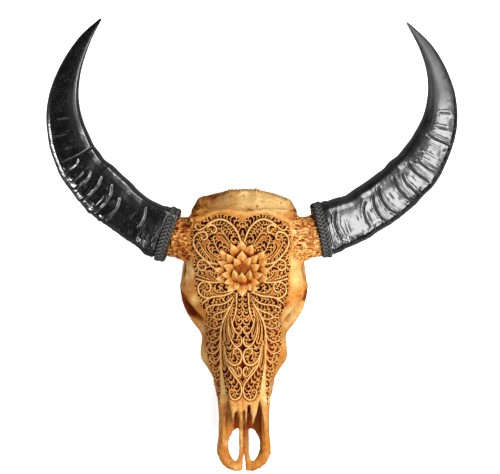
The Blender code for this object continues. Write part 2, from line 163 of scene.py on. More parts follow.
def reach_of(u, v, counted, start, step, strips, most, spare):
    """How far v reaches in each strip of u, run smoothly from strip to strip; spare where none counts."""
    strip = np.clip(((u - start) / step).astype(int), 0, strips - 1)
    met = [v[(strip == k) & counted] for k in range(strips)]
    reached = [most(values) if len(values) else spare for values in met]
    return np.interp(u, start + step * (np.arange(strips) + 0.5), reached)


# The rear outline seen from above, from the left core to the right, and the line that stays in place
REAR = ((-92, 50), (-87, 58), (-84, 70), (-80, 79), (-76, 84), (-67, 85), (-60, 80.5), (-54, 82.5),
        (-46, 86.5), (-38, 88), (-28, 93.5), (-22, 96), (0, 96.5), (20, 97), (32, 93.5), (40, 91),
        (52, 87), (66, 81.5), (74, 80.5), (80, 79), (85, 68), (92, 50))
REAR_FROM = 58
u, v, z = in_mm(points)
reached = reach_of(u, v, z > 95, -92, 4, 46, np.max, REAR_FROM)
share = (line_at(u, REAR) - REAR_FROM) / np.maximum(reached - REAR_FROM, 6)
stretch = 1 + (np.clip(share, 0.6, 1.35) - 1) * smooth(z, 70, 110)
moves = (v > REAR_FROM) & (np.abs(u) < 90)
points[:, 1] = np.where(moves, REAR_FROM + (v - REAR_FROM) * stretch, v) / 1000
# The front outline of the two front bones, and the front ends of the two openings behind it
MUZZLE = ((-47.5, -345), (-45.5, -356), (-42, -366), (-36, -375), (-28, -381), (-18, -384.5), (-7, -386),
          (-3, -384), (3, -384), (8, -386), (17, -384.5), (28, -380), (36, -374), (42, -365),
          (45.5, -354), (47.5, -345))
MUZZLE_FROM = -352
points[:, 1] -= 0.006 * smooth(-v, 332, 358) * bell(np.abs(u) - 15, 8)
u, v, z = in_mm(points)
reached = reach_of(u, v, v < -300, -48, 2, 48, np.min, -345)
share = (line_at(u, MUZZLE) - MUZZLE_FROM) / np.minimum(reached - MUZZLE_FROM, -5)
moves = (v < MUZZLE_FROM) & (np.abs(u) > 1.5)
points[:, 1] = np.where(moves, MUZZLE_FROM + (v - MUZZLE_FROM) * np.clip(share, 0.5, 2.8), v) / 1000


def within(polygon, u, v):
    """Which of the places lie inside the closed outline."""
    polygon = np.array(polygon, float)
    result = np.zeros(np.shape(u), bool)
    for (u0, v0), (u1, v1) in zip(polygon, np.roll(polygon, -1, axis=0)):
        if v0 != v1:
            crosses = (v >= min(v0, v1)) & (v < max(v0, v1))
            result ^= crosses & (u < u0 + (v - v0) * (u1 - u0) / (v1 - v0))
    return result


# The gaps that split the tips of the nasal bones, and the open sides beside them
GAPS = (
    ((-12.4, -280), (-15, -286), (-16.8, -293), (-17.2, -301), (-18.6, -312), (-7, -312), (-9.8, -301),
     (-11.2, -291)),
    ((7.8, -271), (6.6, -282), (5.4, -294), (4.0, -305), (3.2, -312), (13, -312), (11.6, -303), (10.6, -292),
     (9.2, -280), (8.8, -271)),
    ((-30.5, -263), (-26.5, -277), (-22.6, -292), (-19.4, -305), (-18, -312), (-31, -312)),
    ((27.4, -266), (23.0, -280), (19.4, -292), (16, -302), (12.4, -309), (12, -312), (30, -312)),
)
u, v, z = in_mm(points)
gap = np.any([within(shape, u, v) for shape in GAPS], axis=0) & (z > 70)
NOSE_FLOOR = 0.060
points[gap, 2] = NOSE_FLOOR + 0.08 * (points[gap, 2] - NOSE_FLOOR)
# The hollows slope down from a bar on either side, and start behind as a sharp point. The bars' inner
# edges: v forwards, then u outwards.
INNER_EDGE_RIGHT = ((262, 275, 290, 305, 345), (27.0, 28.6, 32.5, 34.0, 35.5))
INNER_EDGE_LEFT = ((262, 276, 290, 305, 345), (31.0, 33.5, 35.3, 37.0, 37.0))


def side_bars(u, v):
    """The height of the bars, and how far from the midline they start."""
    inner_edge = np.where(u > 0, np.interp(-v, *INNER_EDGE_RIGHT), np.interp(-v, *INNER_EDGE_LEFT))
    return 103 - 0.44 * np.clip(-v - 262, 0, 100), inner_edge


u, v, z = in_mm(points)
bar, bar_from = side_bars(u, v)
inwards = np.clip((np.abs(u) - 14) / (bar_from - 14), 0, 1)
slope = 56 + inwards**1.3 * (bar - 61) + 0.5 * (z - 57)
slope = slope + np.where(u < 0, 18, 6) * smooth(v, -284, -262) * inwards
slope = np.minimum(slope, np.where(inwards < 1, bar - 3, bar))
sloped = (v < -258) & (v > -346) & (np.abs(u) < 40) & (z > 50) & (z < np.minimum(slope, 101))
points[sloped, 2] = slope[sloped] / 1000
near_gap = smooth(-v, 256, 262) * smooth(v, -352, -344) * (np.abs(u) < 40) * (z > 50)
points = soften(skull.data, points, 3, 0.4, near_gap)
# The side bars are slimmest halfway
slimmer = np.sign(u) * 0.0024 * smooth(np.abs(u), 34, 40) * smooth(-v, 258, 290)
points[:, 0] -= slimmer * smooth(v, -345, -318)
# The thin shelves behind the front openings have broken edges
shelf = smooth(v, -334, -326) * smooth(-v, 300, 308) * smooth(np.abs(u), 7, 10)
shelf = shelf * smooth(-np.abs(u), -31, -27) * smooth(-z, -84, -74)
points[:, 1] += 0.0052 * shelf * lumps(points * (1, 0.2, 0), 0.0034, 8, 2)
put_points(skull.data, points)

# The rear edge of the forehead is a rounded wavy lip, here as u and v, and the bone behind it lies a
# little lower. Pits are u, v and radius. Shards stand out of the broken rear edge: u, length, half width.
LIP = ((-100, 44), (-90, 47.6), (-73, 51), (-56, 59.5), (-42, 64.6), (-22, 64.6), (-8, 61), (2, 59),
       (14, 61), (34, 64.6), (49, 61), (65, 53), (82, 44.5), (100, 45))
PITS = ((-78, 68, 1.8), (-66, 70, 2.0), (-63, 74, 1.2), (-1, 85, 1.3), (22, 68, 1.6), (63, 73, 1.6),
        (12, 61, 1.5), (8, 62, 1.2))
SHARDS = ((-32, 2.6, 1.7), (-26, 3.6, 1.2), (-7, 2.0, 1.0), (20.5, 4.2, 1.2), (25.5, 2.8, 1.4),
          (-46, 1.6, 2.2), (-60, 1.4, 1.6))


def near_spots(u, v, spots):
    """For each spot of u, v and radius, 1 in its middle and 0 far off."""
    return [np.exp(-((u - a) ** 2 + (v - b) ** 2) / radius**2) for a, b, radius in spots]


def spongy(points):
    """Sharp ridges with valleys between them, 1 on the crests, long across the skull."""
    return 1 - 2.4 * np.abs(lumps(points * (0.42, 1.0, 1.0), 0.0046, 4, 2))


def horn_cores(u, v, z, inner):
    """1 on the rough bone that the horns sat on, and 0 inwards of inner."""
    ends = smooth(v, -30, -18) * smooth(-v, -70, -58)
    return smooth(np.abs(u), inner, inner + 14) * smooth(z, 96, 112) * ends


points, normals = points_of(skull.data), normals_of(skull.data)
points = soften(skull.data, points, 2, 0.5)
u, v, z = in_mm(points)
facing_up = smooth(normals[:, 2], 0.15, 0.6)
out = 0.45 * lumps(points, 0.014, 1, 2) + 0.16 * lumps(points, 0.004, 2, 2)
lip = line_at(u, LIP) + 1.2 * lumps(points, 0.012, 3)
out -= 4.2 * smooth(v, lip - 0.5, lip + 2.5) * facing_up * smooth(-np.abs(u), -96, -84)
out += 1.6 * bell(v - lip + 3.5, 2.8) * facing_up * (np.abs(u) < 92)
for pit in near_spots(u, v, PITS):
    out -= 2.2 * pit * facing_up
out += horn_cores(u, v, z, 74) * (2.4 * spongy(points) + 1.2 * lumps(points, 0.008, 5, 2) - 0.8)
out += smooth(-v, 330, 352) * (0.9 * lumps(points, 0.0035, 6, 2))
suture = bell(u + 2.3, 0.8) * smooth(-v, 252, 256) * (z > 108) * facing_up
suture += 1.2 * bell(u + 1.0, 1.0) * smooth(-v, 300, 306) * smooth(v, -358, -352) * facing_up
out -= suture
moved = points + normals * out[:, None] / 1000
edge_v = line_at(u, REAR)
rear = smooth(v, edge_v - 6, edge_v - 2) * smooth(z, 90, 100)
broken = 1.7 * lumps(points * (1, 0, 0), 0.006, 7, 3) + 0.4
for shard_u, length, half_width in SHARDS:
    broken += length * bell(u - shard_u, half_width)
moved[:, 1] += rear * broken / 1000
# The grinding teeth: parted by clefts, ribbed on their sides, with two crescents each on the worn face
TOOTH_ENDS = (-242.6, -226.6, -206.6, -184.4, -158.2, -129.0, -95.4)


def tooth_rows(u, v, z, top, full):
    """1 on the crowns up to full millimetres over the floor, 0 from top on."""
    beside = (np.abs(u) > 18) * (np.abs(u) < 78)
    return smooth(-v, 92, 94) * smooth(v, -246, -244) * smooth(-z, -top, -full) * beside


tooth = tooth_rows(u, v, z, 41, 37)
which = np.clip(np.searchsorted(TOOTH_ENDS, v) - 1, 0, 5)
start_v, end_v = np.array(TOOTH_ENDS)[which], np.array(TOOTH_ENDS)[which + 1]
part = np.clip((v - start_v) / (end_v - start_v), 0, 1)
upright = 1 - np.abs(normals[:, 2])
cleft = bell(np.minimum(v - start_v, end_v - v), 1.3)
ribs_on = np.cos(2 * math.pi * 2.5 * part + 0.6)
sideways = 0.9 * ribs_on - 3.4 * cleft - 1.3 * (2 * part - 1) ** 4
moved[:, :2] += normals[:, :2] * (tooth * upright * sideways)[:, None] / 1000
row_u = np.interp(v, (-242, -96), (37.5, 56.0))
off_row = np.abs(u) - row_u
off_crescent = np.abs((part * 2) % 1 - 0.5) * (end_v - start_v) / 2 - 2.6 - 0.05 * off_row**2
crescents = bell(off_crescent, 1.0) * smooth(-np.abs(off_row), -8, -5)
worn = tooth * (normals[:, 2] < -0.7)
moved[:, 2] += worn * (0.9 * crescents + 0.8 * cleft) / 1000
moved[:, 2] = np.maximum(moved[:, 2], 0)
put_points(skull.data, moved)

# Thinned to about as many triangles as MOST_FACES. Thinned to what one piece may hold
skull.data.calc_loop_triangles()
trim = skull.modifiers.new("fewer_faces", "DECIMATE")
trim.ratio = min(1.0, MOST_FACES / len(skull.data.loop_triangles))
bpy.ops.object.modifier_apply(modifier="fewer_faces")

points, normals = points_of(skull.data), normals_of(skull.data)
skull_tree = BVHTree.FromPolygons(points.tolist(), [tuple(p.vertices) for p in skull.data.polygons])

GOLDEN_TURN = 2.39996                    # radians from one ray or seed to the next, to spread them evenly


def closed_in(tree, points, normals, reach, rays=9):
    """How much of what each point faces is shut off by the piece itself, 0 to 1."""
    turns = np.random.default_rng(5).uniform(0, 2 * math.pi, len(points))
    side = unit(np.cross(normals, np.where(np.abs(normals[:, 2:]) < 0.9, (0.0, 0.0, 1.0), (1.0, 0.0, 0.0))))
    across = np.cross(normals, side)
    hits = np.zeros(len(points))
    starts = (points + normals * 0.0006).tolist()
    for ray in range(rays):
        tilt = math.asin(math.sqrt((ray + 0.5) / rays))
        turn = turns + ray * GOLDEN_TURN
        leaning = side * np.cos(turn)[:, None] + across * np.sin(turn)[:, None]
        ways = normals * math.cos(tilt) + leaning * math.sin(tilt)
        for i, (start, way) in enumerate(zip(starts, ways.tolist())):
            distance = tree.ray_cast(start, way, reach)[3]
            if distance is not None:
                hits[i] += 1 - 0.5 * distance / reach
    return hits / rays


def give(mesh, **values):
    """Stores one number for each point under each name, for the material to read."""
    for name, value in values.items():
        layer = mesh.attributes.new(name, "FLOAT", "POINT")
        value = np.broadcast_to(value, len(mesh.vertices))
        layer.data.foreach_set("value", np.ascontiguousarray(value, dtype=np.float32))


# Where the bone stayed pale and where it is orange-brown: u, v, radius and strength of each patch
PALE = ((88, 22, 15, 0.5), (101, 10, 16, 0.6), (84, -30, 13, 0.5), (88, -58, 12, 0.6), (96, -45, 12, 0.6),
        (78, -112, 20, 0.6), (60, -132, 12, 0.4), (-80, -190, 12, 0.7), (-76, -176, 10, 0.5), (63, 74, 20, 0.8),
        (30, 74, 20, 0.9), (0, 72, 16, 0.8), (46, 68, 16, 0.8), (-32, 76, 12, 0.6), (-84, -42, 10, 0.7),
        (-95, -38, 7, 0.9), (-97, -52, 6, 0.9), (-85, -91, 8, 0.7), (-70, -140, 10, 0.5), (0, 82, 16, 0.9),
        (24, 78, 16, 0.9), (48, 74, 14, 0.8), (15, -285, 20, 0.45), (-20, -285, 14, 0.4), (72, -165, 10, 0.4),
        (-70, -190, 12, 0.5), (-31, -336, 5, 0.8), (-14, -380, 6, 0.6), (-48, 72, 14, 0.3), (-5, -318, 5, 0.6),
        (-5, -328, 5, 0.6), (-5, -338, 5, 0.6), (40, 84, 16, 0.6), (0, 84, 14, 0.5), (36, -240, 10, 0.8),
        (-35, -240, 9, 0.5), (36, -262, 10, 0.8), (-35, -262, 9, 0.5))
RUSTY = ((-92, -68, 9, 0.4), (-74, -102, 7, 0.6), (92, -84, 8, 0.8), (74, -97, 8, 1.0), (79, -90, 6, 0.8),
         (-82, -119, 7, 0.9), (64, -112, 6, 0.6), (-98, 20, 15, 0.9), (-96, 8, 12, 0.8), (108, 18, 10, 0.5),
         (-100, -2, 12, 0.9), (30, -345, 16, 0.8), (24, -370, 14, 0.6), (-18, -372, 16, 0.6),
         (-54, 86, 16, 0.6), (-68, 84, 8, 0.5), (-78, 60, 14, 0.5), (-58, -128, 14, 0.5), (95, 42, 14, 0.5),
         (4, -322, 5, 0.7), (4, -332, 5, 0.7), (4, -342, 5, 0.8), (4, -354, 6, 0.9), (-4, -360, 5, 0.6),
         (8, -376, 8, 0.7), (-36, -350, 12, 0.7), (-38, -330, 12, 0.6), (-38, -312, 10, 0.5),
         (38, -318, 12, 0.6), (-78, -150, 16, 0.5), (-66, -150, 14, 0.4), (-30, -276, 7, 0.9),
         (-29, -288, 8, 1.0), (-27, -302, 9, 1.0), (-26, -316, 8, 0.8), (-34, -372, 12, 0.8),
         (36, -368, 12, 0.8), (-44, -352, 11, 0.9), (-24, -379, 9, 0.9), (43, -346, 9, 0.8), (18, -379, 9, 0.9),
         (-42, -322, 8, 0.8), (38, -360, 7, 0.9))


def patches(points, spots, seed):
    """How strongly the spots colour each point, with ragged edges."""
    u, v, _ = in_mm(points)
    total = np.zeros(len(points))
    wobble = 1 + 0.55 * lumps(points, 0.011, seed, 3)
    for spot_u, spot_v, radius, strength in spots:
        near = np.exp(-(((u - spot_u) ** 2 + (v - spot_v) ** 2) / (radius * wobble) ** 2))
        total = np.maximum(total, strength * near)
    return total


def stains(points):
    """The pale and the orange-brown share of each point, alike for the bone and what is carved in it."""
    return {"pale": patches(points, PALE, 11), "rusty": patches(points, RUSTY, 12)}


# How dark each point is painted, from painted shade and from stains: first painted shade from how shut in each
# point is
u, v, z = in_mm(points)
hollow = closed_in(skull_tree, points, normals, 0.060)
hollow = np.clip(hollow * 1.25 - 0.12, 0, 1)
# Less painted shade on the upward faces of the rear plate
hollow -= 0.14 * smooth(v, 60, 66) * smooth(normals[:, 2], 0.3, 0.7)
# Painted shade, darkest inside the nose, on its right more than on its left; and dark lines where bones meet
bar, bar_from = side_bars(u, v)
nose = smooth(v, -345, -312) * smooth(-v, 254, 260) * smooth(-z, -113, -105) * smooth(-np.abs(u), -41, -38)
most = np.where((np.abs(u) > bar_from) | (u < -17), 0.12, 0.3)
hollow = np.where(nose > 0.1, np.minimum(hollow, most), hollow)
inside = smooth(v, -345, -312) * smooth(-v, 260, 263) * smooth(bar - z, 0.5, 3)
inside = inside * smooth(bar_from - np.abs(u), -0.6, 0.8)
hollow = np.maximum(hollow, inside * np.where(u > 0, 0.54, 0.10))
lines_met = bell(u + 2.3, 1.0) * smooth(-v, 256, 262) * smooth(v, -296, -288) * (z > 108)
lines_met += bell(u + 1.0, 1.2) * smooth(-v, 300, 306) * smooth(v, -358, -352) * (z > 42)
hollow += 0.42 * lines_met
# Painted shadow in the dip behind the lip, darker on the left
shadow_behind_lip = bell(v - line_at(u, LIP) - 3.5, 3.0)
hollow += np.where(u < 10, 0.26, 0.14) * shadow_behind_lip * (np.abs(u) < 90) * (normals[:, 2] > 0.2)
core = horn_cores(u, v, z, 76)
# Painted shade low beside the eye sockets, and burnt spots, each as u, v and radius
SOCKET_SHADOWS = ((-109, -77, 7), (-107, -86, 8), (-103, -94, 8), (-98, -103, 8), (-93, -110, 7), (-87, -115, 5),
           (107, -77, 5), (105.5, -84, 4.5), (103.5, -90, 4))
BURNT = ((90, -119, 2.5), (75, -96, 4), (72, -104, 3.5), (-62, 82, 5), (-53, 84, 5), (-43, 87, 5), (-31, 92, 4),
         (82, 72, 4), (86, 61, 4), (71, 80, 4), (-87, 55, 5), (-84, 67, 4), (-100, 30, 5), (-108, -4, 7),
         (-101, -14, 6), (112, 30, 4), (100, 36, 5), (113, 2, 6))
# Painted shade kept lighter in the eye sockets
socket = (np.abs(u) > 58) & (v < -56) & (v > -150)
hollow = np.where(socket, np.minimum(hollow, np.where(u > 0, 0.42, 0.46)), hollow)
# Painted shade in the slits between the tips of the nasal bones
slits = np.any([within(shape, u, v) for shape in GAPS[:2]], axis=0) & (z < 90) & (z > 40)
hollow = np.where(slits, np.maximum(hollow, 0.72), hollow)
# Less painted shade on the teeth, and painted shade in the clefts between them
toothed = tooth_rows(u, v, z, 38, 31)
shade_between_teeth = bell(np.abs(v[:, None] - TOOTH_ENDS).min(axis=1), 1.5) * toothed
hollow = np.where(toothed > 0.5, np.clip(0.6 * hollow, 0, 0.5) + 0.75 * shade_between_teeth, hollow)
hollow = hollow + 0.9 * np.clip(sum(near_spots(u, v, PITS)) * (normals[:, 2] > 0.2), 0, 1)
# Painted shade in the eye sockets' openings, on the left only inside the socket's rim
rim_of_left_socket = smooth(-105.6 - 0.805 * (v + 75.1) - u, -1.5, 1.5)
socket_shadow = np.clip(1.3 * sum(near_spots(u, v, SOCKET_SHADOWS)), 0, 1) * np.where(u > 0, 1, rim_of_left_socket)
valleys = smooth(-spongy(points), -0.45, 0.35)
burnt = np.clip(sum(near_spots(u, v, BURNT)), 0, 1)
rear_edge = np.where(u < 0, 0.75, 0.4) * smooth(v - line_at(u, REAR), -6, -1)
burnt += rear_edge * smooth(lumps(points, 0.011, 31, 2), 0.0, 0.4) * (np.abs(u) < 88) * (v > 60)
# On top: the painted shade in the eye sockets, darker valleys on the horn cores, and the burnt spots
hollow = hollow + 0.75 * socket_shadow + core * np.where(u < 0, 0.85, 0.72) * valleys + 0.42 * burnt
give(skull.data, hollow=np.clip(hollow, 0, 1), raw=core, tooth=toothed, **stains(points))


def new_group(name, inputs, outputs):
    """An empty shader node group with named sockets, and its two ends."""
    group = bpy.data.node_groups.new(name, "ShaderNodeTree")
    for label, kind, value in inputs:
        socket = group.interface.new_socket(name=label, in_out="INPUT", socket_type=kind)
        if value is not None:
            socket.default_value = value
    for label, kind in outputs:
        group.interface.new_socket(name=label, in_out="OUTPUT", socket_type=kind)
    return group, group.nodes.new("NodeGroupInput"), group.nodes.new("NodeGroupOutput")


def add(tree, kind, links=(), **values):
    """A new node with its settings, its unlinked values as {socket: value} in at, and its inputs linked."""
    made = tree.nodes.new("ShaderNode" + kind)
    for name, value in values.pop("at", {}).items():
        made.inputs[name].default_value = value
    for name, value in values.items():
        setattr(made, name, value)
    for name, source in dict(links).items():
        tree.links.new(source, made.inputs[name])
    return made


def noise(tree, place, scale, detail, rough=0.5):
    """Soft random values round a half, about scale of them to the metre."""
    settings = {"Scale": scale, "Detail": detail, "Roughness": rough}
    return add(tree, "TexNoise", {"Vector": place}, at=settings).outputs["Fac"]


def limits(tree, source, low, high, at_low=0.0, at_high=1.0):
    """source from low to high, as at_low to at_high."""
    ends = {"From Min": low, "From Max": high, "To Min": at_low, "To Max": at_high}
    return add(tree, "MapRange", {"Value": source}, at=ends).outputs["Result"]


def times(tree, one, other):
    return math_of(tree, "MULTIPLY", one, other)


def plus(tree, one, other):
    return math_of(tree, "ADD", one, other)


def math_of(tree, operation, one, other):
    made = tree.nodes.new("ShaderNodeMath")
    made.operation = operation
    for socket, value in zip(made.inputs, (one, other)):
        if isinstance(value, (int, float)):
            socket.default_value = value
        else:
            tree.links.new(value, socket)
    return made.outputs[0]


def mixed(tree, share, one, other):
    """Colour one where share is 0 and the other where it is 1."""
    made = tree.nodes.new("ShaderNodeMix")
    made.data_type = "RGBA"
    tree.links.new(share, made.inputs["Factor"])
    for socket, value in ((made.inputs["A"], one), (made.inputs["B"], other)):
        socket = next(s for s in made.inputs if s.name == socket.name and s.type == "RGBA")
        if isinstance(value, tuple):
            socket.default_value = (*value, 1)
        else:
            tree.links.new(value, socket)
    return next(s for s in made.outputs if s.type == "RGBA")


# Grain that all the bone, the teeth and the horn cores share: broad tone, mottling, brown specks,
# fine cracks, and the height of them all.
grain, entry, result = new_group(
    "dry_grain",
    (("Vector", "NodeSocketVector", None),),
    (("Tone", "NodeSocketFloat"), ("Mottle", "NodeSocketFloat"), ("Specks", "NodeSocketFloat"),
     ("Cracks", "NodeSocketFloat"), ("Height", "NodeSocketFloat")),
)
place = entry.outputs["Vector"]
tone = noise(grain, place, 26.0, 5.0, 0.6)
mottle = noise(grain, place, 130.0, 5.0, 0.62)
fine = noise(grain, place, 900.0, 3.0, 0.6)
cells = add(grain, "TexVoronoi", {"Vector": place}, at={"Scale": 330.0, "Randomness": 1.0}).outputs["Distance"]
specks = times(grain, limits(grain, cells, 0.30, 0.12), limits(grain, mottle, 0.50, 0.62))
wander = add(grain, "TexNoise", {"Vector": place}, at={"Scale": 60.0, "Detail": 3.0}).outputs["Color"]
bent = add(grain, "MixRGB", {"Color1": place, "Color2": wander}, at={"Fac": 0.03}).outputs["Color"]
lines = add(grain, "TexVoronoi", {"Vector": bent}, at={"Scale": 34.0}, feature="DISTANCE_TO_EDGE")
near_line = limits(grain, lines.outputs["Distance"], 0.022, 0.004)
cracks = times(grain, near_line, limits(grain, tone, 0.52, 0.60))
raised = plus(grain, times(grain, fine, 0.35), times(grain, mottle, 0.5))
sunk = plus(grain, times(grain, specks, 0.5), times(grain, cracks, 0.8))
height = math_of(grain, "SUBTRACT", raised, sunk)
made = {"Tone": tone, "Mottle": mottle, "Specks": specks, "Cracks": cracks, "Height": height}
for label, value in made.items():
    grain.links.new(value, result.inputs[label])


def new_material(name):
    """A new material, its nodes, its shader and the place of each point in metres."""
    material = bpy.data.materials.new(name)
    material.use_nodes = True
    tree = material.node_tree
    return material, tree, tree.nodes["Principled BSDF"], add(tree, "TexCoord").outputs["Object"]


def roughen(tree, shader, height, strength, depth):
    """Bumps under the light, depth metres where height is 1."""
    bumps = add(tree, "Bump", {"Height": height}, at={"Strength": strength, "Distance": depth})
    tree.links.new(bumps.outputs["Normal"], shader.inputs["Normal"])


def place_group(tree, group, place, **values):
    """A use of the group at the given places, with its values set."""
    made = add(tree, "Group", node_tree=group)
    tree.links.new(place, made.inputs["Vector"])
    for name, value in values.items():
        made.inputs[name].default_value = value
    return made.outputs


def stored(tree, name):
    return add(tree, "Attribute", attribute_name=name).outputs["Fac"]


bone, tree, shader, spot = new_material("varnished_bone")
grained = place_group(tree, grain, spot)
mottle, shade_and_stain_level = grained["Mottle"], stored(tree, "hollow")
along_core = add(tree, "Mapping", {"Vector": spot}, at={"Scale": (0.42, 1.0, 1.0)}).outputs[0]
flecks = noise(tree, along_core, 330.0, 5.0, 0.72)
DARK_BONE, LIGHT_BONE, GOLDEN = (0.37, 0.116, 0.0105), (0.60, 0.242, 0.040), (0.72, 0.37, 0.093)
PALE_BONE_AND_HIGHLIGHT, RUSTY_BONE = (0.90, 0.62, 0.25), (0.40, 0.108, 0.006)
CORE_CREST, CORE_VALLEY = (0.90, 0.54, 0.17), (0.19, 0.034, 0.005)
SPECK, CRACK = (0.24, 0.085, 0.020), (0.16, 0.045, 0.010)
SHADE_AND_STAIN_BROWN, DEEP_SHADE_AND_STAIN = (0.30, 0.066, 0.005), (0.150, 0.014, 0.0015)
ENAMEL_STAINED, ENAMEL = (0.52, 0.36, 0.17), (0.76, 0.61, 0.37)
colour = mixed(tree, limits(tree, grained["Tone"], 0.36, 0.64), DARK_BONE, LIGHT_BONE)
for share, over in (                     # each lies over the ones before it
    (times(tree, limits(tree, mottle, 0.35, 0.68), 0.45), GOLDEN),
    (times(tree, stored(tree, "pale"), limits(tree, mottle, 0.20, 0.50)), PALE_BONE_AND_HIGHLIGHT),
    (times(tree, stored(tree, "rusty"), limits(tree, mottle, 0.80, 0.42)), RUSTY_BONE),
    (times(tree, stored(tree, "raw"), limits(tree, flecks, 0.48, 0.36)), CORE_CREST),
    (times(tree, stored(tree, "raw"), limits(tree, flecks, 0.49, 0.57)), CORE_VALLEY),
    (times(tree, grained["Specks"], 0.55), SPECK),
    (times(tree, grained["Cracks"], 0.75), CRACK),
):
    colour = mixed(tree, share, colour, over)
# Painted shade, with the stains that share its level: brown, then deep brown
dark = mixed(tree, limits(tree, shade_and_stain_level, 0.35, 0.95), SHADE_AND_STAIN_BROWN, DEEP_SHADE_AND_STAIN)
colour = mixed(tree, limits(tree, shade_and_stain_level, 0.10, 0.62), colour, dark)
enamel = mixed(tree, limits(tree, mottle, 0.30, 0.70), ENAMEL_STAINED, ENAMEL)
colour = mixed(tree, times(tree, stored(tree, "tooth"), limits(tree, shade_and_stain_level, 0.95, 0.45)), colour, enamel)
tree.links.new(colour, shader.inputs["Base Color"])
matt = limits(tree, mottle, 0.3, 0.7, 0.60, 0.44)
tree.links.new(plus(tree, matt, times(tree, shade_and_stain_level, 0.40)), shader.inputs["Roughness"])
tree.links.new(times(tree, limits(tree, shade_and_stain_level, 0.4, 0.0), 0.08), shader.inputs["Coat Weight"])
shader.inputs["Coat Roughness"].default_value = 0.30
shader.inputs["Specular IOR Level"].default_value = 0.12
roughen(tree, shader, grained["Height"], 0.45, 0.0007)
skull.data.materials.append(bone)

# The carved panel is set into the bone: the bone under it is taken away
CARVING_OUTLINE = (
    (0, 41), (3, 45), (8, 49.5), (15, 51), (22, 53.8), (32, 56), (42, 56.5), (50, 54.5), (58, 50.5),
    (67, 46), (76, 42.5), (84, 38), (86.5, 30), (90, 22), (91, 12), (90, 0), (87.5, -8), (85, -13),
    (87, -20), (88.5, -34), (86, -46), (85, -54), (86, -62), (85, -74), (81, -86), (77, -92),
    (77, -101), (71, -109), (68, -116), (66, -122), (68, -134), (68, -150), (67, -170), (65, -188),
    (61, -202), (55, -214), (51, -226), (47.5, -240), (46, -256), (45.5, -272), (44, -284), (41, -281),
    (38.5, -268), (36, -256), (31, -252), (26.5, -256.5), (21, -262.5), (12, -265), (5, -262),
    (0, -257),
)
CELL = 0.5                               # millimetres, of the grid that the carving is drawn on
columns = np.arange(-8.0, 94.0, CELL)
rows = np.arange(-290.0, 64.0, CELL)
grid_u, grid_v = np.meshgrid(columns, rows)


def smooth_path(points, step=0.7):
    """A smooth line through the points, with one point about every step."""
    points = np.array(points, float)
    ends = np.vstack([2 * points[0] - points[1], points, 2 * points[-1] - points[-2]])
    path = []
    for a, b, c, d in zip(ends, ends[1:], ends[2:], ends[3:]):
        count = max(2, int(np.linalg.norm(c - b) / step))
        t = (np.arange(count) / count)[:, None]
        straight = 2 * b + (c - a) * t
        bent = straight + (2 * a - 5 * b + 4 * c - d) * t**2 + (3 * b - a - 3 * c + d) * t**3
        path.append(0.5 * bent)
    return np.vstack(path + [points[-1:]])


def draw(field, path, widths, far=7.0):
    """Lowers field to the distance from the line's edge, negative inside it, up to far from it."""
    path = np.asarray(path, float)
    widths = np.broadcast_to(np.asarray(widths, float), len(path))
    reach = widths.max() + far
    for a, b, width_a, width_b in zip(path, path[1:], widths, widths[1:]):
        low = np.minimum(a, b) - reach - (columns[0], rows[0])
        high = np.maximum(a, b) + reach - (columns[0], rows[0])
        low = np.maximum(low // CELL, 0).astype(int)
        high = np.maximum(high // CELL + 2, 0).astype(int)
        part = slice(low[1], high[1]), slice(low[0], high[0])
        off_u, off_v = grid_u[part] - a[0], grid_v[part] - a[1]
        along = b - a
        t = np.clip((off_u * along[0] + off_v * along[1]) / max(along @ along, 1e-9), 0, 1)
        distance = np.hypot(off_u - t * along[0], off_v - t * along[1])
        field[part] = np.minimum(field[part], distance - (width_a + (width_b - width_a) * t))


# The carver's middle line lies a little to the left, and the right side of the pattern is narrower
CARVING_MIDDLE = -2.7


def side_scale(v, right):
    return np.where(right, 1 - 0.07 * smooth(v, -110, -60), 0.955 + 0.03 * smooth(v, -60, 0))


def on_skull(u, v):
    """Across the skull, from across the pattern."""
    return CARVING_MIDDLE + u * side_scale(v, u > 0)


def on_pattern(u, v):
    off = u - CARVING_MIDDLE
    return off / side_scale(v, off > 0)


FAR = 60.0                               # millimetres, for whatever is too far off to matter
outline = smooth_path(CARVING_OUTLINE, 1.5)
edge = np.full(grid_u.shape, FAR)
draw(edge, outline, 0.0, far=FAR)
edge = np.where(within(np.vstack([[(-99, 41)], outline, [(-99, -256)]]), grid_u, grid_v), edge, -edge)


def look_up(field, u, v):
    """The field at any places, on either side of the midline, between its grid points."""
    across = np.clip((np.abs(u) - columns[0]) / CELL, 0, len(columns) - 1.001)
    up = np.clip((v - rows[0]) / CELL, 0, len(rows) - 1.001)
    i, j = up.astype(int), across.astype(int)
    a, b = up - i, across - j
    return (
        (field[i, j] * (1 - b) + field[i, j + 1] * b) * (1 - a)
        + (field[i + 1, j] * (1 - b) + field[i + 1, j + 1] * b) * a
    )


def hole_depth(u, v):
    """Deep through the forehead, shallow on the cheeks and where the bone over the nose is thin."""
    deep = 5.0 + 3.5 * smooth(v, -230, -150)
    cheek = smooth(np.abs(u), 40, 47) * smooth(-v, 108, 118)
    return deep * (1 - cheek) + (2.8 + 1.4 * smooth(v, -232, -215)) * cheek


def panel_height(u, v):
    """The bone's surface from above, in metres, for each place."""
    result = np.full(len(u), np.nan)
    down = Vector((0, 0, -1))
    for i, (a, b) in enumerate(zip((u / 1000 + MIDLINE).tolist(), (v / 1000).tolist())):
        hit = skull_tree.ray_cast((a, b, 0.4), down)[0]
        if hit is not None:
            result[i] = hit.z
    return result


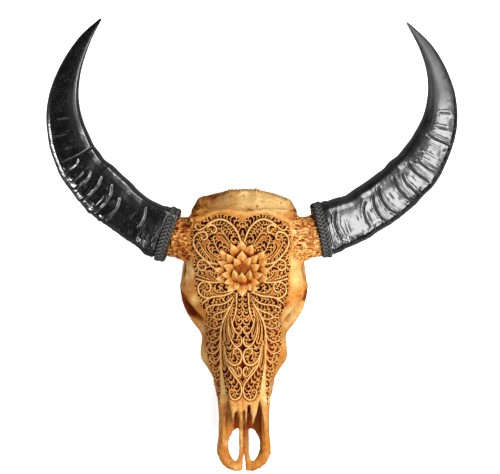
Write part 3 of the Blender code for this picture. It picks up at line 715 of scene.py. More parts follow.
surface = panel_height(u, v)
u = on_pattern(u, v)
on_top = (points[:, 2] > surface - 0.003) & (look_up(edge, u, v) > -0.4) & (v > -284) & (v < 60)
ROOM_BEHIND = 2.6                        # millimetres taken away behind the holes
depth = hole_depth(u, v) + ROOM_BEHIND
taken = points.copy()
taken[on_top, 2] -= (depth * smooth(look_up(edge, u, v), -0.4, 1.6))[on_top] / 1000
put_points(skull.data, taken)
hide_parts("cranium")
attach(skull, "root")


# ---------------------------------------------------------------------------------------------
# The carving: the forehead, the nose and the cheeks are pierced with a traditional pattern of
# scrolls and leaves, cut with fine chisels and a drill, so that only thin curling ribs of bone are
# left. One side of the midline mirrors the other.


def curl(points, centre, turns, end_radius=1.5):
    """The points, then a spiral in round centre; turns is positive for anticlockwise."""
    last = np.array(points[-1], float) - centre
    radius, start = np.hypot(*last), math.atan2(last[1], last[0])
    count = max(6, int(abs(turns) * 14))
    spiral = []
    for k in range(1, count + 1):
        r = radius + (end_radius - radius) * (k / count) ** 1.3
        a = start + turns * 2 * math.pi * k / count
        spiral.append((centre[0] + r * math.cos(a), centre[1] + r * math.sin(a)))
    return list(points) + spiral


# The scrolls are laid out in millimetres, and comma-shaped holes are then packed along them by
# rule, as the carver works along a stem. Stems: points, then half width, or half widths spread along it.
STEMS = (
    (curl([(3, 8), (5.6, 15), (9, 23.5), (13.8, 31), (20, 37.5), (28, 43), (37, 45.5), (46, 44),
           (54.5, 39.5), (60, 32.5)], (51.8, 26.5), 0.80), 1.8),
    (curl([(56, 40.5), (62.5, 34), (69, 29), (76, 27), (81, 31)], (75.5, 34), 0.45), 1.3),
    (curl([(42, -31), (58, -27.5), (68, -20.5), (77, -10.5), (83, 0), (84.5, 9), (81.5, 17), (75, 22),
           (67, 24)], (68, 15.5), 0.80), 1.6),
    (curl([(20, 0), (25, 11), (31, 20), (36, 27)], (33, 30), 0.45), 1.0),
    (curl([(38, -14), (44, -4), (48, 5), (50, 12)], (46, 14), 0.45), 1.0),
    (curl([(54, -22), (62, -14), (69, -4), (73, 4)], (76.5, 2), -0.4), 1.1),
    (curl([(42, -40), (52, -36), (58, -30), (64, -24.5), (72, -23.5), (78, -28.5), (78.5, -36)],
          (70, -33.5), -0.75), 1.4),
    (curl([(58, -57), (69, -53.5), (78, -50)], (78, -45.5), 0.35), 1.1),
    ([(30, -59.5), (42, -61), (54, -61.5), (66, -59.5), (76, -57), (83, -55)], 1.5),
    (curl([(50, -86), (60, -88), (70, -86), (78, -78), (78, -67), (71, -61.5)],
          (65.5, -71.5), 0.75, 4.0), 1.5),
    ([(14, -76), (25, -81), (36, -84.5), (48, -85.5), (58, -88), (66, -93), (72, -99)], 1.6),
    (curl([(17, -86), (28, -95), (40, -99), (52, -100), (60, -103)], (59, -110), -0.45), 1.4),
    (curl([(23, -103), (33, -110), (43, -113), (50, -117)], (47, -121), -0.4), 1.3),
    ([(9.5, -74), (10.5, -86), (10.5, -98), (12, -109), (14.5, -119), (17.5, -127)], 1.4),
    (curl([(20.5, -122), (18.5, -132), (15, -141), (10, -147.5), (4.5, -148), (1.6, -142.5)],
          (6.4, -139.5), -0.55), 1.3),
    (curl([(25.5, -130), (25, -145), (21, -158), (15, -168), (8.5, -170.3), (3, -166.5), (1.4, -158.5),
           (4, -152)], (7.2, -155.5), -0.35), 1.4),
    (curl([(32, -170), (30.5, -184), (25.5, -195), (18, -201.5), (11, -202), (4.2, -197.5), (1.4, -188.5),
           (3.5, -178.5), (9.5, -173.5)], (11.5, -181), -0.5), 1.6),
    (curl([(23.5, -203.5), (17.5, -209.5), (13.5, -216), (8.6, -221), (3.6, -220), (1.5, -214), (3.6, -207)],
          (6.8, -211), -0.4), 1.3),
    (curl([(30, -190), (27, -201), (21.5, -211), (14.5, -220.5), (7, -229.5), (2.2, -238), (1.8, -248),
           (5.5, -257), (12.5, -261), (19.5, -258.8), (23.6, -251)], (17.5, -247.5), 0.45), 1.5),
    ([(15, -88), (21, -101), (28.5, -114), (34.5, -126), (38.3, -140), (39.8, -160), (39.3, -185),
      (37.5, -212), (35.5, -238), (35, -256)], (1.2, 1.6, 1.7, 1.5, 1.3, 1.2, 1.3, 2.4, 4.6, 5.6)),
    ([(34, -122), (43, -124), (52, -121), (62, -121)], 1.1),
    (curl([(37, -134), (46, -139), (55, -139), (63, -134)], (60, -131), 0.3), 1.1),
    (curl([(40, -150), (45, -159), (53, -163.5), (61, -161)], (60, -155.5), 0.4), 1.1),
    (curl([(40.5, -168), (45, -178), (53, -183), (61, -180)], (60.5, -174), 0.4), 1.1),
    (curl([(40, -187), (45, -196), (52, -198), (58, -193)], (56, -190), 0.3), 1.1),
    (curl([(39, -203), (43, -212), (50, -214)], (50.5, -209), 0.3), 1.1),
    (curl([(37.5, -219), (41, -227), (46.5, -228)], (46.5, -224), 0.3), 1.0),
)
# Smooth leaves with a long slot beside their raised edge: slot, leaf half width, slot half width
SLOT_LEAVES = (
    ([(22, 4), (28, 11), (34, 17.6), (38, 19.6), (41, 18.8)], 3.0, 1.15),
    ([(43, -21), (53, -15), (60, -7), (62.2, 0), (60, 3.2)], 3.6, 1.25),
    ([(45, -58), (53, -53.5), (58.5, -48), (59, -44.6)], 2.4, 1.0),
    ([(22, -77.5), (34, -80.6), (44, -80.5), (50, -78), (51.5, -75)], 2.6, 0.9),
    ([(31.5, -126), (34.6, -136), (35.6, -148), (35, -160)], 0.9, 1.15),
    ([(25, -116), (29, -128), (30.3, -141), (29.3, -153), (27, -163)], 0.9, 1.15),
    ([(20, -108), (22.8, -119), (22.5, -130), (20.8, -140), (18, -150)], 0.7, 1.0),
    ([(35.4, -168), (35.6, -180), (34.5, -194), (32, -206)], 0.8, 1.1),
)
# Four-pointed holes on the midline, between the pairs of scrolls: v, size
STARS = ((-97.5, 1.5), (-108, 1.9), (-120, 2.4), (-133.5, 4.0), (-151, 5.6), (-172.5, 6.6), (-203, 6.6),
         (-226, 5.2))
# Crescents in pairs down the top of the bridge: v of the middle
CUPS = (-84, -92.5, -102.5, -114, -127)
FLOWER_MIDDLE = -37.0

keep = np.full(grid_u.shape, FAR)        # distance from what must stay solid
stems = []
for points_on, width in STEMS:
    path = smooth_path(points_on)
    t = np.linspace(0, 1, len(path))
    widths = np.atleast_1d(np.array(width, float))
    widths = np.interp(t, np.linspace(0, 1, len(widths)), widths)
    widths = widths * np.interp(t, (0, 0.12, 0.8, 1), (0.75, 1, 1, 0.72))
    stems.append((path, widths.mean()))
    draw(keep, path, widths, 8)
ribs = keep.copy()                       # distance from the stems alone
slots = []
for points_on, leaf, slot in SLOT_LEAVES:
    path = smooth_path(points_on)
    tangent = np.gradient(path, axis=0)
    tangent /= np.hypot(*tangent.T)[:, None]
    t = np.linspace(0, 1, len(path))
    slots.append((path, slot * (0.35 + 0.65 * np.clip(t * 1.6, 0, 1))))
    stems.append((path, slot + 1.5))
    draw(keep, path, slot + 1.5, 8)
    fat = leaf * np.clip(0.2 + 1.7 * t, 0, 1)
    beside = np.column_stack([tangent[:, 1], -tangent[:, 0]]) * (fat + 0.6)[:, None]
    draw(keep, path + beside, fat + 0.5, 8)
bearing = np.arctan2(grid_v - FLOWER_MIDDLE, grid_u)
flower = np.hypot(grid_u * 0.96, (grid_v - FLOWER_MIDDLE) * 1.02) - (41 + 4.5 * np.cos(bearing * 10))
keep = np.minimum(keep, flower)

hole = np.full(grid_u.shape, FAR)        # distance from the nearest hole, negative inside it
for path, widths in slots:
    draw(hole, path, widths)
for star_v, star_size in STARS:
    star = np.abs(grid_u * 1.1) ** 0.7 + np.abs((grid_v - star_v) * 0.88) ** 0.7
    star = np.maximum((star - star_size**0.7 * 1.15) * 1.5, -2.0)
    hole = np.minimum(hole, np.where(np.hypot(grid_u, grid_v - star_v) < 13, star, FAR))
for cup_v in CUPS:
    wide = np.interp(cup_v, (-127, -84), (1.12, 0.80))
    cup = np.array([(9.6, 3.6), (8.6, -0.4), (5.6, -2.6), (2.9, -0.9), (2.9, 1.6)]) * (wide, 1)
    cup = smooth_path(cup + (0.3, cup_v))
    draw(hole, cup, np.interp(np.linspace(0, 1, len(cup)), (0, 0.5, 1), (0.5, 1.8, 1.1)))
    draw(hole, [(9.2 * wide, cup_v + 6.5), (6.5 * wide, cup_v + 3.2)], (0.5, 0.9))

WALL = 1.05                              # the least bone left between two holes
ALONG_STEMS = (11.5, 10.2, 9.0, 7.8, 6.8, 5.8, 5.0)     # lengths of holes, the first that fits is cut
BETWEEN_STEMS = (10.0, 8.6, 7.4, 6.4, 5.4)


def nearest(field, places):
    """The field at the grid points nearest to the places."""
    i = np.clip(np.rint((places[:, 1] - rows[0]) / CELL).astype(int), 0, len(rows) - 1)
    j = np.clip(np.rint((places[:, 0] - columns[0]) / CELL).astype(int), 0, len(columns) - 1)
    return field[i, j]


def offer_hole(tail, angle, bend, sizes):
    """Cuts the largest comma that fits, from its thin tail to its round head, and returns its size."""
    steps = 10
    for size in sizes:
        comma, way = [np.array(tail, float)], angle
        for k in range(1, steps):
            comma.append(comma[-1] + np.array([math.cos(way), math.sin(way)]) * size / steps)
            way += bend * 2 * k / steps**2
        comma = np.array(comma)
        radii = size * (0.05 + 0.262 * np.linspace(0, 1, steps) ** 0.9)
        if (comma[:, 0] < 0.9).any() or (nearest(keep, comma) - radii < 0.1).any():
            continue
        if (nearest(hole, comma) - radii < WALL).any() or (nearest(edge, comma) - radii < 1.2).any():
            continue
        draw(hole, comma, radii)
        if size >= 5.0:                  # the curled tip of the leaf stands in the head of the hole
            inner = math.copysign(math.pi / 2, bend) + way
            tip = comma[-1] + np.array([math.cos(inner), math.sin(inner)]) * size * 0.20
            near = np.hypot(grid_u - tip[0], grid_v - tip[1])
            np.maximum(hole, size * 0.12 - near, out=hole, where=near < size * 0.3)
        return size
    return 0


for path, half_width in stems:           # a row of holes close along both sides of each stem
    lengths = np.concatenate([[0], np.cumsum(np.hypot(*np.diff(path, axis=0).T))])
    for side in (1, -1):
        reached = 1.0
        while reached < lengths[-1]:
            i = min(int(np.searchsorted(lengths, reached)), len(path) - 2)
            tangent = path[i + 1] - path[max(i - 1, 0)]
            tangent = tangent / np.hypot(*tangent)
            outwards = np.array([-tangent[1], tangent[0]]) * side
            way = math.atan2(tangent[1], tangent[0]) + side * 0.30
            cut = 0
            for size in ALONG_STEMS:
                tail = path[i] + outwards * (half_width + 0.35 + size * 0.05)
                cut = offer_hole(tail, way, side * 2.0, (size,)) or offer_hole(tail, way, side * 1.3, (size,))
                if cut:
                    break
            reached += cut * 0.64 if cut else 0.8

stem_points = np.vstack([path[::2] for path, _ in stems])
stem_ways = np.vstack([np.gradient(path, axis=0)[::2] for path, _ in stems])
stem_ways /= np.hypot(*stem_ways.T)[:, None] + 1e-9
places = np.array([(a, b) for a in np.arange(1.5, 92, 1.3) for b in np.arange(-282, 56, 1.3)])
room = np.minimum(np.minimum(nearest(keep, places), nearest(hole, places) - WALL), nearest(edge, places) - 1)
places = places[np.argsort(-room, kind="stable")]
for place in places[: int((room >= 0.9).sum())]:     # what is left is filled, the widest gaps first
    if min(nearest(keep, place[None])[0], nearest(hole, place[None])[0] - WALL) < 0.9:
        continue
    closest = ((stem_points - place) ** 2).sum(axis=1).argmin()
    tangent, off = stem_ways[closest], place - stem_points[closest]
    side = 1 if tangent[0] * off[1] - tangent[1] * off[0] > 0 else -1
    for lean in (30, 60, 0, 100, 150, 220, 290):
        way = math.atan2(tangent[1], tangent[0]) + side * math.radians(lean)
        if offer_hole(place, way, side * 1.9, BETWEEN_STEMS):
            break
for place in places:                     # and drilled where even a small comma is too long
    here = place[None]
    spare = min(nearest(keep, here)[0] - 0.3, nearest(hole, here)[0] - WALL, nearest(edge, here)[0] - 1.5, 1.7)
    if spare > 0.95 and place[0] > 1.2:
        draw(hole, [place, place + 0.01], spare)

# Points of the grid that lie beside the edge of a hole are drawn on to it, so that it is cut clean
slope_v, slope_u = np.gradient(hole, CELL)
steep = slope_u**2 + slope_v**2
beside = (np.abs(hole) < 0.30) & (edge > 0.3) & (grid_u > 0.3)
shift_u = np.where(beside, -hole * slope_u / np.maximum(steep, 0.4), 0)
shift_v = np.where(beside, -hole * slope_v / np.maximum(steep, 0.4), 0)
hole = np.where(beside, 0.0, hole)

# How high the carved face lies over the bone, in millimetres, and how much painted shade it gets
MARGIN = 3.4                             # the panel's rim runs this far under the bone around it
SPARE_DEPTH = 1.3                        # and its back lies this far under the deepest of the holes
STEEPEST = 0.003                         # metres: a cell that rises more is off the bone's edge
cheek = smooth(grid_u, 40, 47) * smooth(-grid_v, 108, 118)
relief = -1.2 * (1 - np.clip(hole / 0.9, 0, 1)) ** 2
relief -= 1.1 * np.clip((hole - 1) / 1.2, 0, 1) * np.clip(ribs, 0, 1) * np.clip((edge - 2) / 1.5, 0, 1)
relief -= 1.3 * bell(ribs - 0.40, 0.42)
relief += 1.2 * np.sqrt(np.clip(-ribs / 1.3, 0, 1))
narrow = smooth(-grid_u, -41, -38) * smooth(-grid_v, 236, 250)
bars = smooth(grid_u, 28, 31) * np.maximum(narrow, smooth(-grid_v, 256, 266))
relief = np.where(edge > 0, relief * (1 - bars), 0.0)      # the bars are flush with the bone before them
relief = relief - 0.9 * bell(edge - 0.3, 0.5) * (1 - bars)
relief = np.where(flower < 0, -5.5 * smooth(-flower, 0.0, 3.0), relief)
relief += 0.15 - 1.6 * smooth(-edge, 1.2, MARGIN)
open_here = (hole < 0) & (edge > 0) & (flower > 0)
relief = np.where(open_here, -hole_depth(grid_u, grid_v), relief)
carved = smooth(edge, 0.2, 1.5)
# Painted shade in grooves beside stems, at hole edges, on the flats and along the outline; full in holes and
# the flower's recess
shade = 0.62 * bell(ribs - 0.40, 0.50) + 0.36 * np.clip(1 - hole / 0.6, 0, 1)
shade = shade + 0.42 * np.clip(hole - 1, 0, 1) * np.clip(ribs, 0, 1)
shade = (shade * carved + 0.4 * bell(edge - 0.3, 0.5)) * (1 - bars)
shade = np.where(open_here, 1.0 - 0.05 * cheek, shade)
shade = np.where(flower < 0, 0.85 * smooth(-flower, 0.0, 2.0), shade)
# Painted highlight on the tops of the stems and round the rims of the holes
crests = 0.75 * np.sqrt(np.clip(-ribs / 0.8, 0, 1)) + 0.45 * bell(hole - 0.75, 0.35)
rib_highlight = carved * (flower > 0) * np.clip(crests, 0, 1)


def carved_panel(name, sign, low_v, high_v):
    """One closed part of the panel: the carved face, walls round it and a plain back."""
    first = int(round((0 - columns[0]) / CELL))
    i0, i1 = (int(round((value - rows[0]) / CELL)) for value in (low_v, high_v))
    part = slice(i0, i1 + 1), slice(first, len(columns))
    height, width = relief[part].shape
    u = (sign * (grid_u + shift_u)[part]).ravel()
    v = (grid_v + shift_v)[part].ravel()
    wander = np.column_stack([u, v, np.zeros(len(u))]) / 1000
    u = u + 0.5 * lumps(wander, 0.045, 21)
    v = v + 0.5 * lumps(wander, 0.045, 22)
    u = on_skull(u, v)
    base = np.full(len(u), np.nan)
    wanted = edge[part].ravel() > -MARGIN - CELL
    base[wanted] = panel_height(u[wanted], v[wanted])
    top = placed(u, v, base + relief[part].ravel() / 1000)

    # Cells inside the outline, cut into two triangles along the diagonal nearer to a hole's edge
    index = np.arange(height * width).reshape(height, width)
    a, b = index[:-1, :-1].ravel(), index[:-1, 1:].ravel()
    c, d = index[1:, 1:].ravel(), index[1:, :-1].ravel()
    spread = np.ptp(base[np.column_stack([a, b, c, d])], axis=1)
    rim = edge[part].ravel()
    used = (np.column_stack([rim[a], rim[b], rim[c], rim[d]]).min(axis=1) > -MARGIN) & (spread < STEEPEST)
    a, b, c, d = a[used], b[used], c[used], d[used]
    level = np.abs(hole[part].ravel())
    first_way = (level[a] + level[c] <= level[b] + level[d])[:, None]
    one = np.where(first_way, np.column_stack([a, b, c]), np.column_stack([a, b, d]))
    two = np.where(first_way, np.column_stack([a, c, d]), np.column_stack([b, c, d]))
    faces = np.vstack([one, two])
    if sign < 0:
        faces = faces[:, ::-1]

    # The edges that only one triangle has go round the panel
    sides = np.vstack([faces[:, [0, 1]], faces[:, [1, 2]], faces[:, [2, 0]]])
    keys = np.sort(sides, axis=1) @ np.array([height * width, 1])
    _, where, counts = np.unique(keys, return_index=True, return_counts=True)
    round_it = sides[where[counts == 1]]
    kept = np.unique(faces)
    new_index = np.full(height * width, -1)
    new_index[kept] = np.arange(len(kept))
    top, panel_shade, crest_highlight = top[kept], shade[part].ravel()[kept], rib_highlight[part].ravel()[kept]
    faces, round_it = new_index[faces], new_index[round_it]

    # The back follows the bone at an even depth
    rim_points = np.unique(round_it)
    coarse_u, coarse_v = np.meshgrid(np.arange(3.0, 92, 6.0), np.arange(low_v + 3, high_v, 6.0))
    coarse_u, coarse_v = coarse_u.ravel(), coarse_v.ravel()
    clear = look_up(edge, coarse_u, coarse_v) > 2.0
    coarse_u, coarse_v = on_skull(sign * coarse_u[clear], coarse_v[clear]), coarse_v[clear]
    coarse = placed(coarse_u, coarse_v, panel_height(coarse_u, coarse_v))
    coarse = coarse[~np.isnan(coarse[:, 2])]
    lower = np.vstack([top[rim_points], coarse])
    lower_u, lower_v, _ = in_mm(lower)
    lower[:, 2] -= (hole_depth(on_pattern(lower_u, lower_v), lower_v) + SPARE_DEPTH) / 1000
    place_of = {int(point): i for i, point in enumerate(rim_points)}
    rim_edges = [(place_of[int(p)], place_of[int(q)]) for p, q in round_it]
    corners = [Vector(p[:2]) for p in lower]
    _, _, triangles, origin, _, _ = geometry.delaunay_2d_cdt(corners, rim_edges, [], 1, 1e-7)
    came_from = [ids[0] if ids else 0 for ids in origin]
    start = len(top)
    walls = []
    for p, q in round_it:
        below_p, below_q = start + place_of[int(p)], start + place_of[int(q)]
        walls.append((int(q), int(p), below_p, below_q))
    back = [tuple(start + came_from[i] for i in reversed(triangle)) for triangle in triangles]
    mesh = bpy.data.meshes.new(name)
    mesh.from_pydata(np.vstack([top, lower]).tolist(), [], faces.tolist() + walls + back)
    panel = bpy.data.objects.new(name, mesh)
    bpy.context.collection.objects.link(panel)
    pick(panel)
    bpy.ops.object.mode_set(mode="EDIT")
    bpy.ops.mesh.select_all(action="SELECT")
    bpy.ops.mesh.delete_loose()
    bpy.ops.mesh.normals_make_consistent(inside=False)
    bpy.ops.object.mode_set(mode="OBJECT")
    bpy.ops.object.shade_smooth_by_angle(angle=math.radians(50))
    mesh.materials.append(bone)
    colours = stains(points_of(mesh))
    # The painted highlight on the crests goes in with the pale stains
    crest_highlight = np.concatenate([0.7 * crest_highlight, np.zeros(len(lower))])[: len(mesh.vertices)]
    # Full painted shade on the walls and back, less at the nose's lower end
    panel_shade = np.concatenate([panel_shade, np.where(lower_v < -236, 0.25, 1.0)])[: len(mesh.vertices)]
    give(mesh, hollow=panel_shade, pale=np.maximum(colours["pale"], crest_highlight), rusty=colours["rusty"], raw=0.0)
    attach(panel, "root")


for part, low_v, high_v in (("forehead", -100, 62), ("nose", -288, -100)):
    for side, sign in (("left", -1), ("right", 1)):
        carved_panel(f"carving_{part}_{side}", sign, low_v, high_v)


# ---------------------------------------------------------------------------------------------
# The lotus: an open flower cut from the thickness of the forehead, in four rows of pointed petals
# round a stippled seed head. The three petals in front stand up as a cup. It is one with the bone.

# Petals, by row from the outside in: tip u and v, base u and v, width, in millimetres
PETALS = (
    ((-3.8, 9.3, -3.8, -12, 17), (-21.7, 3.4, -12, -17, 15), (14.4, 3, 6, -16, 15),
     (-40.8, -6, -26.5, -27, 13), (34, -7.6, 23, -27, 14), (-45, -26.4, -25.5, -34, 11),
     (39, -24.7, 25.5, -34, 13), (-51, -39, -29.8, -43.4, 12), (44.2, -39, 25.5, -44.2, 12),
     (-48, -55.3, -28, -56, 13), (41.2, -55.3, 23, -54.4, 13), (-28, -77.4, -13.6, -63.8, 14),
     (22.5, -77, 8.5, -65, 14), (-15, -74, -9, -60, 12), (11, -76, 5, -62, 11)),
    ((-28.9, -13.6, -18.7, -28.9, 13), (23, -14.5, 10.2, -30.6, 13), (-34.9, -32.3, -15.3, -40.8, 14),
     (27.2, -31.5, 10.2, -40.8, 14), (-37.8, -48.5, -20.4, -48.5, 12), (31.5, -46.8, 13.6, -52.7, 12),
     (-34, -62.9, -15.3, -57, 12), (27.2, -62.9, 8.5, -59.5, 12), (-3, -86, -3, -62, 19)),
    ((-3.4, -7.7, -3.4, -30.6, 17), (-17, -20.4, -6.8, -35.7, 12), (11.9, -18.7, 0.9, -34.9, 12)),
    ((-17.9, -39.1, -11.9, -62, 13), (11, -40, 6, -59.5, 13), (-3.8, -44.2, -3.4, -65, 16)),
)
# For each row, how high its petals start and end over the bone, and how far their sides fall off
ROW_HEIGHTS = ((-3.6, 2.4, 1.5), (-2.6, 3.8, 1.8), (-2.0, 4.8, 1.8), (-3.0, 6.4, 3.6))
SEED_HEAD = (-3.0, -38.0, 13.0, 9.5)     # its middle, and half its width and length
SEEDS = 64
PETAL_THICK = 0.0012                     # metres

bpy.ops.mesh.primitive_grid_add(x_subdivisions=16, y_subdivisions=20, size=1)
petal = bpy.context.object
flat = points_of(petal.data)
across, along = flat[:, 0] * 2, flat[:, 1] + 0.5


def petal_points(tip_u, tip_v, base_u, base_v, width, start, end, keel):
    """The petal's grid, put where one petal lies; across and along run over it."""
    tip, base = np.array([tip_u, tip_v]), np.array([base_u, base_v])
    way = tip - base
    length = np.hypot(*way)
    way = way / length
    beside = np.array([way[1], -way[0]])
    outline = (1 - along) ** 1.22 * (0.70 + 3.2 * along) / 1.06
    sideways = across * outline * width * 0.54
    plan = base + way * (along * length)[:, None] + beside * sideways[:, None]
    lift = start + (end - start) * along ** (0.8 if keel < 3 else 0.55)
    lift = lift - keel * np.abs(across) ** 0.9 * np.sin(np.pi * np.clip(along * 0.85 + 0.15, 0, 1))
    lift = lift + 0.5 * bell(across, 0.08) * (1 - along) ** 0.3
    return plan, lift


def on_bone(plan, lift):
    """Points at the plan's u and v, lifted off the bone by so many millimetres."""
    u, v = plan.T
    return placed(u, v, panel_height(u, v) + lift / 1000)


petals = []
for row, (start, end, keel) in zip(PETALS, ROW_HEIGHTS):
    for number, spot_of in enumerate(row):
        one = bpy.data.objects.new("petal", petal.data.copy())
        bpy.context.collection.objects.link(one)
        plan, lift = petal_points(*spot_of, start, end + 0.35 * (number % 3), keel)
        put_points(one.data, on_bone(plan, lift))
        # Painted shade at the base, beside the keel and at the edges; painted highlight towards the tip;
        # orange-brown at the base
        base_and_keel_shade = 0.80 * smooth(-along, -0.42, -0.02) + 0.20 * bell(np.abs(across) - 0.14, 0.08)
        give(
            one.data,
            hollow=np.clip(base_and_keel_shade + 0.40 * smooth(np.abs(across), 0.86, 1.0), 0, 1),
            pale=0.55 * smooth(along, 0.35, 0.9) * (1 - smooth(np.abs(across), 0.6, 1)),
            rusty=0.45 * smooth(-along, -0.7, -0.1),
            raw=0.0,
        )
        pick(one)
        wall = one.modifiers.new("thickness", "SOLIDIFY")
        wall.thickness, wall.offset = PETAL_THICK, -1
        bpy.ops.object.modifier_apply(modifier="thickness")
        petals.append(one)
bpy.data.objects.remove(petal)

# The seed head is a low dome of small bosses
bpy.ops.mesh.primitive_uv_sphere_add(segments=64, ring_count=40, radius=1)
seeds = bpy.context.object
ball = points_of(seeds.data)
head_u, head_v, half_u, half_v = SEED_HEAD
plan = np.column_stack([head_u + ball[:, 0] * half_u, head_v + ball[:, 1] * half_v])
bosses = np.zeros(len(ball))
for number in range(SEEDS):             # laid out as seeds grow, round and round from the middle
    turn, r = number * GOLDEN_TURN, math.sqrt((number + 0.5) / SEEDS)
    off_u, off_v = ball[:, 0] - r * math.cos(turn), ball[:, 1] - r * math.sin(turn)
    bosses = np.maximum(bosses, bell(np.hypot(off_u * half_u, off_v * half_v), 0.85))
rise = 2.2 * ball[:, 2] + 1.3 * bosses * (ball[:, 2] > 0) - 2.0
put_points(seeds.data, on_bone(plan, rise))
# Painted shade between the bosses and painted highlight on them, over orange-brown
give(seeds.data, hollow=0.72 - 0.46 * bosses, pale=0.25 * bosses, rusty=0.9, raw=0.0)
lotus = petals[0]
pick(*petals, seeds)
bpy.ops.object.join()
lotus.name = "carving_lotus"
bpy.ops.object.shade_smooth_by_angle(angle=math.radians(24))
lotus.data.materials.clear()
lotus.data.materials.append(bone)
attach(lotus, "root")

# ---------------------------------------------------------------------------------------------
# The horns: black keratin sheaths slipped over the bony cores, hollow in life, rubbed with oil.
# Each is flattened, with a broad front face that is crossed by growth ridges on its outer part.

# x from the midline, y, z, half width seen from above, half thickness, all in metres
LEFT_HORN = (
    (-0.1213, 0.0172, 0.144, 0.0405, 0.0265), (-0.1480, 0.0268, 0.141, 0.0430, 0.0285),
    (-0.1885, 0.0512, 0.133, 0.0412, 0.0285), (-0.2370, 0.0915, 0.124, 0.0415, 0.0275),
    (-0.2805, 0.1403, 0.116, 0.0385, 0.0245), (-0.3024, 0.1982, 0.114, 0.0330, 0.0210),
    (-0.3067, 0.2480, 0.118, 0.0266, 0.0175), (-0.2955, 0.2980, 0.127, 0.0190, 0.0130),
    (-0.2715, 0.3480, 0.140, 0.0110, 0.0085), (-0.2425, 0.3855, 0.153, 0.0018, 0.0018),
)
RIGHT_HORN = (
    (0.1230, 0.0255, 0.144, 0.0405, 0.0265), (0.1510, 0.0325, 0.141, 0.0435, 0.0285),
    (0.1975, 0.0528, 0.133, 0.0415, 0.0285), (0.2474, 0.0865, 0.124, 0.0425, 0.0275),
    (0.2958, 0.1340, 0.116, 0.0395, 0.0245), (0.3279, 0.1940, 0.114, 0.0330, 0.0210),
    (0.3360, 0.2450, 0.118, 0.0256, 0.0170), (0.3283, 0.2930, 0.127, 0.0178, 0.0125),
    (0.3085, 0.3370, 0.139, 0.0110, 0.0085), (0.2765, 0.3790, 0.152, 0.0018, 0.0018),
)
# How high the front face stands over the widest line, across it from the inner to the outer edge: the
# left horn's is flatter
RIGHT_FRONT = ((-1, 0), (-0.985, 0.22), (-0.94, 0.46), (-0.84, 0.72), (-0.68, 0.92), (-0.48, 1.02),
               (-0.25, 1.04), (0.0, 1.00), (0.3, 0.89), (0.6, 0.76), (0.80, 0.62), (0.91, 0.46),
               (0.97, 0.27), (1, 0))
LEFT_FRONT = ((-1, 0), (-0.99, 0.34), (-0.96, 0.60), (-0.90, 0.80), (-0.80, 0.92), (-0.6, 0.99),
              (-0.3, 1.02), (0.0, 1.00), (0.3, 0.94), (0.6, 0.84), (0.80, 0.70), (0.91, 0.52),
              (0.97, 0.30), (1, 0))
# Growth ridges on the front face, from their inner to their outer end: u, v in millimetres, then how
# high the crest stands, or below nought how deep the furrow is
LEFT_RIDGES = (
    (((-212, 85), (-216, 68), (-226, 55), (-243, 45)), 2.5),
    (((-225, 107), (-229, 86), (-243, 68), (-260, 59)), 2.6),
    (((-242, 121), (-249, 104), (-262, 90), (-277, 79)), 2.6),
    (((-260, 129), (-267, 114), (-278, 106), (-286, 100)), 2.2),
    (((-236, 90), (-247, 76), (-256, 70)), 1.2), (((-272, 128), (-280, 120), (-291, 113)), 1.3),
    (((-281, 149), (-288, 138), (-299, 131)), 1.6), (((-254, 171), (-282, 154), (-312, 141)), -1.6),
    (((-168, 68), (-171, 50), (-179, 36)), 1.8), (((-300, 190), (-318, 186)), -1.1),
    (((-296, 217), (-316, 215)), -1.0),
)
RIGHT_RIDGES = (
    (((155, 62), (154, 38), (162, 18), (169, 8)), -1.8), (((206, 79), (203, 61), (208, 44), (217, 32)), -1.4),
    (((217, 90), (222, 68), (233, 49), (248, 38)), -2.6),
    (((227, 104), (232, 83), (246, 64), (268, 51)), -2.6),
    (((252, 120), (261, 99), (276, 83), (292, 74)), -2.2),
    (((266, 128), (274, 110), (288, 96), (303, 87)), -1.6),
    (((276, 143), (290, 127), (315, 109)), -2.8), (((292, 147), (309, 134), (328, 124)), -1.8),
    (((309, 191), (324, 183), (348, 173)), -1.8),
    (((322, 204), (345, 199)), -1.0), (((330, 226), (350, 226)), -1.0),
)
HORN_RINGS, HORN_AROUND = 620, 150
EDGE_FULLNESS, BACK_FULLNESS = 2.2, 1.95     # 2 would be an ellipse


def between(before, here, there, after, t):
    """A Catmull-Rom value between here and there."""
    slope_here, slope_there = (there - before) / 2, (after - here) / 2
    lift = 2 * t**3 - 3 * t**2 + 1
    return lift * here + (t**3 - 2 * t**2 + t) * slope_here + (1 - lift) * there + (t**3 - t**2) * slope_there


def horn_path(horn, count):
    """Evenly numbered places along the horn: centres, sides, uprights, half widths and thicknesses."""
    table = np.array(horn)
    table[:, 0] += MIDLINE
    last = len(table) - 1
    places = np.linspace(0, last, count)
    i = np.minimum(places.astype(int), last - 1)
    four = [table[np.clip(i + k, 0, last)] for k in (-1, 0, 1, 2)]
    dense = between(*four, (places - i)[:, None])
    ahead = unit(np.gradient(dense[:, :3], axis=0))
    side = unit(np.cross(ahead, (0, 0, 1)))
    return dense[:, :3], side, np.cross(side, ahead), dense[:, 3], dense[:, 4]


def walked(path):
    """How far along a line of points each of them is."""
    return np.concatenate([[0], np.cumsum(np.linalg.norm(np.diff(path, axis=0), axis=1))])


def grid_piece(along, around):
    """A new square mesh, and the share along and the angle round that each of its points stands for."""
    bpy.ops.mesh.primitive_grid_add(x_subdivisions=along, y_subdivisions=around, size=1)
    piece = bpy.context.object
    grid = points_of(piece.data)
    return piece, grid[:, 0] + 0.5, (grid[:, 1] + 0.5) * 2 * math.pi


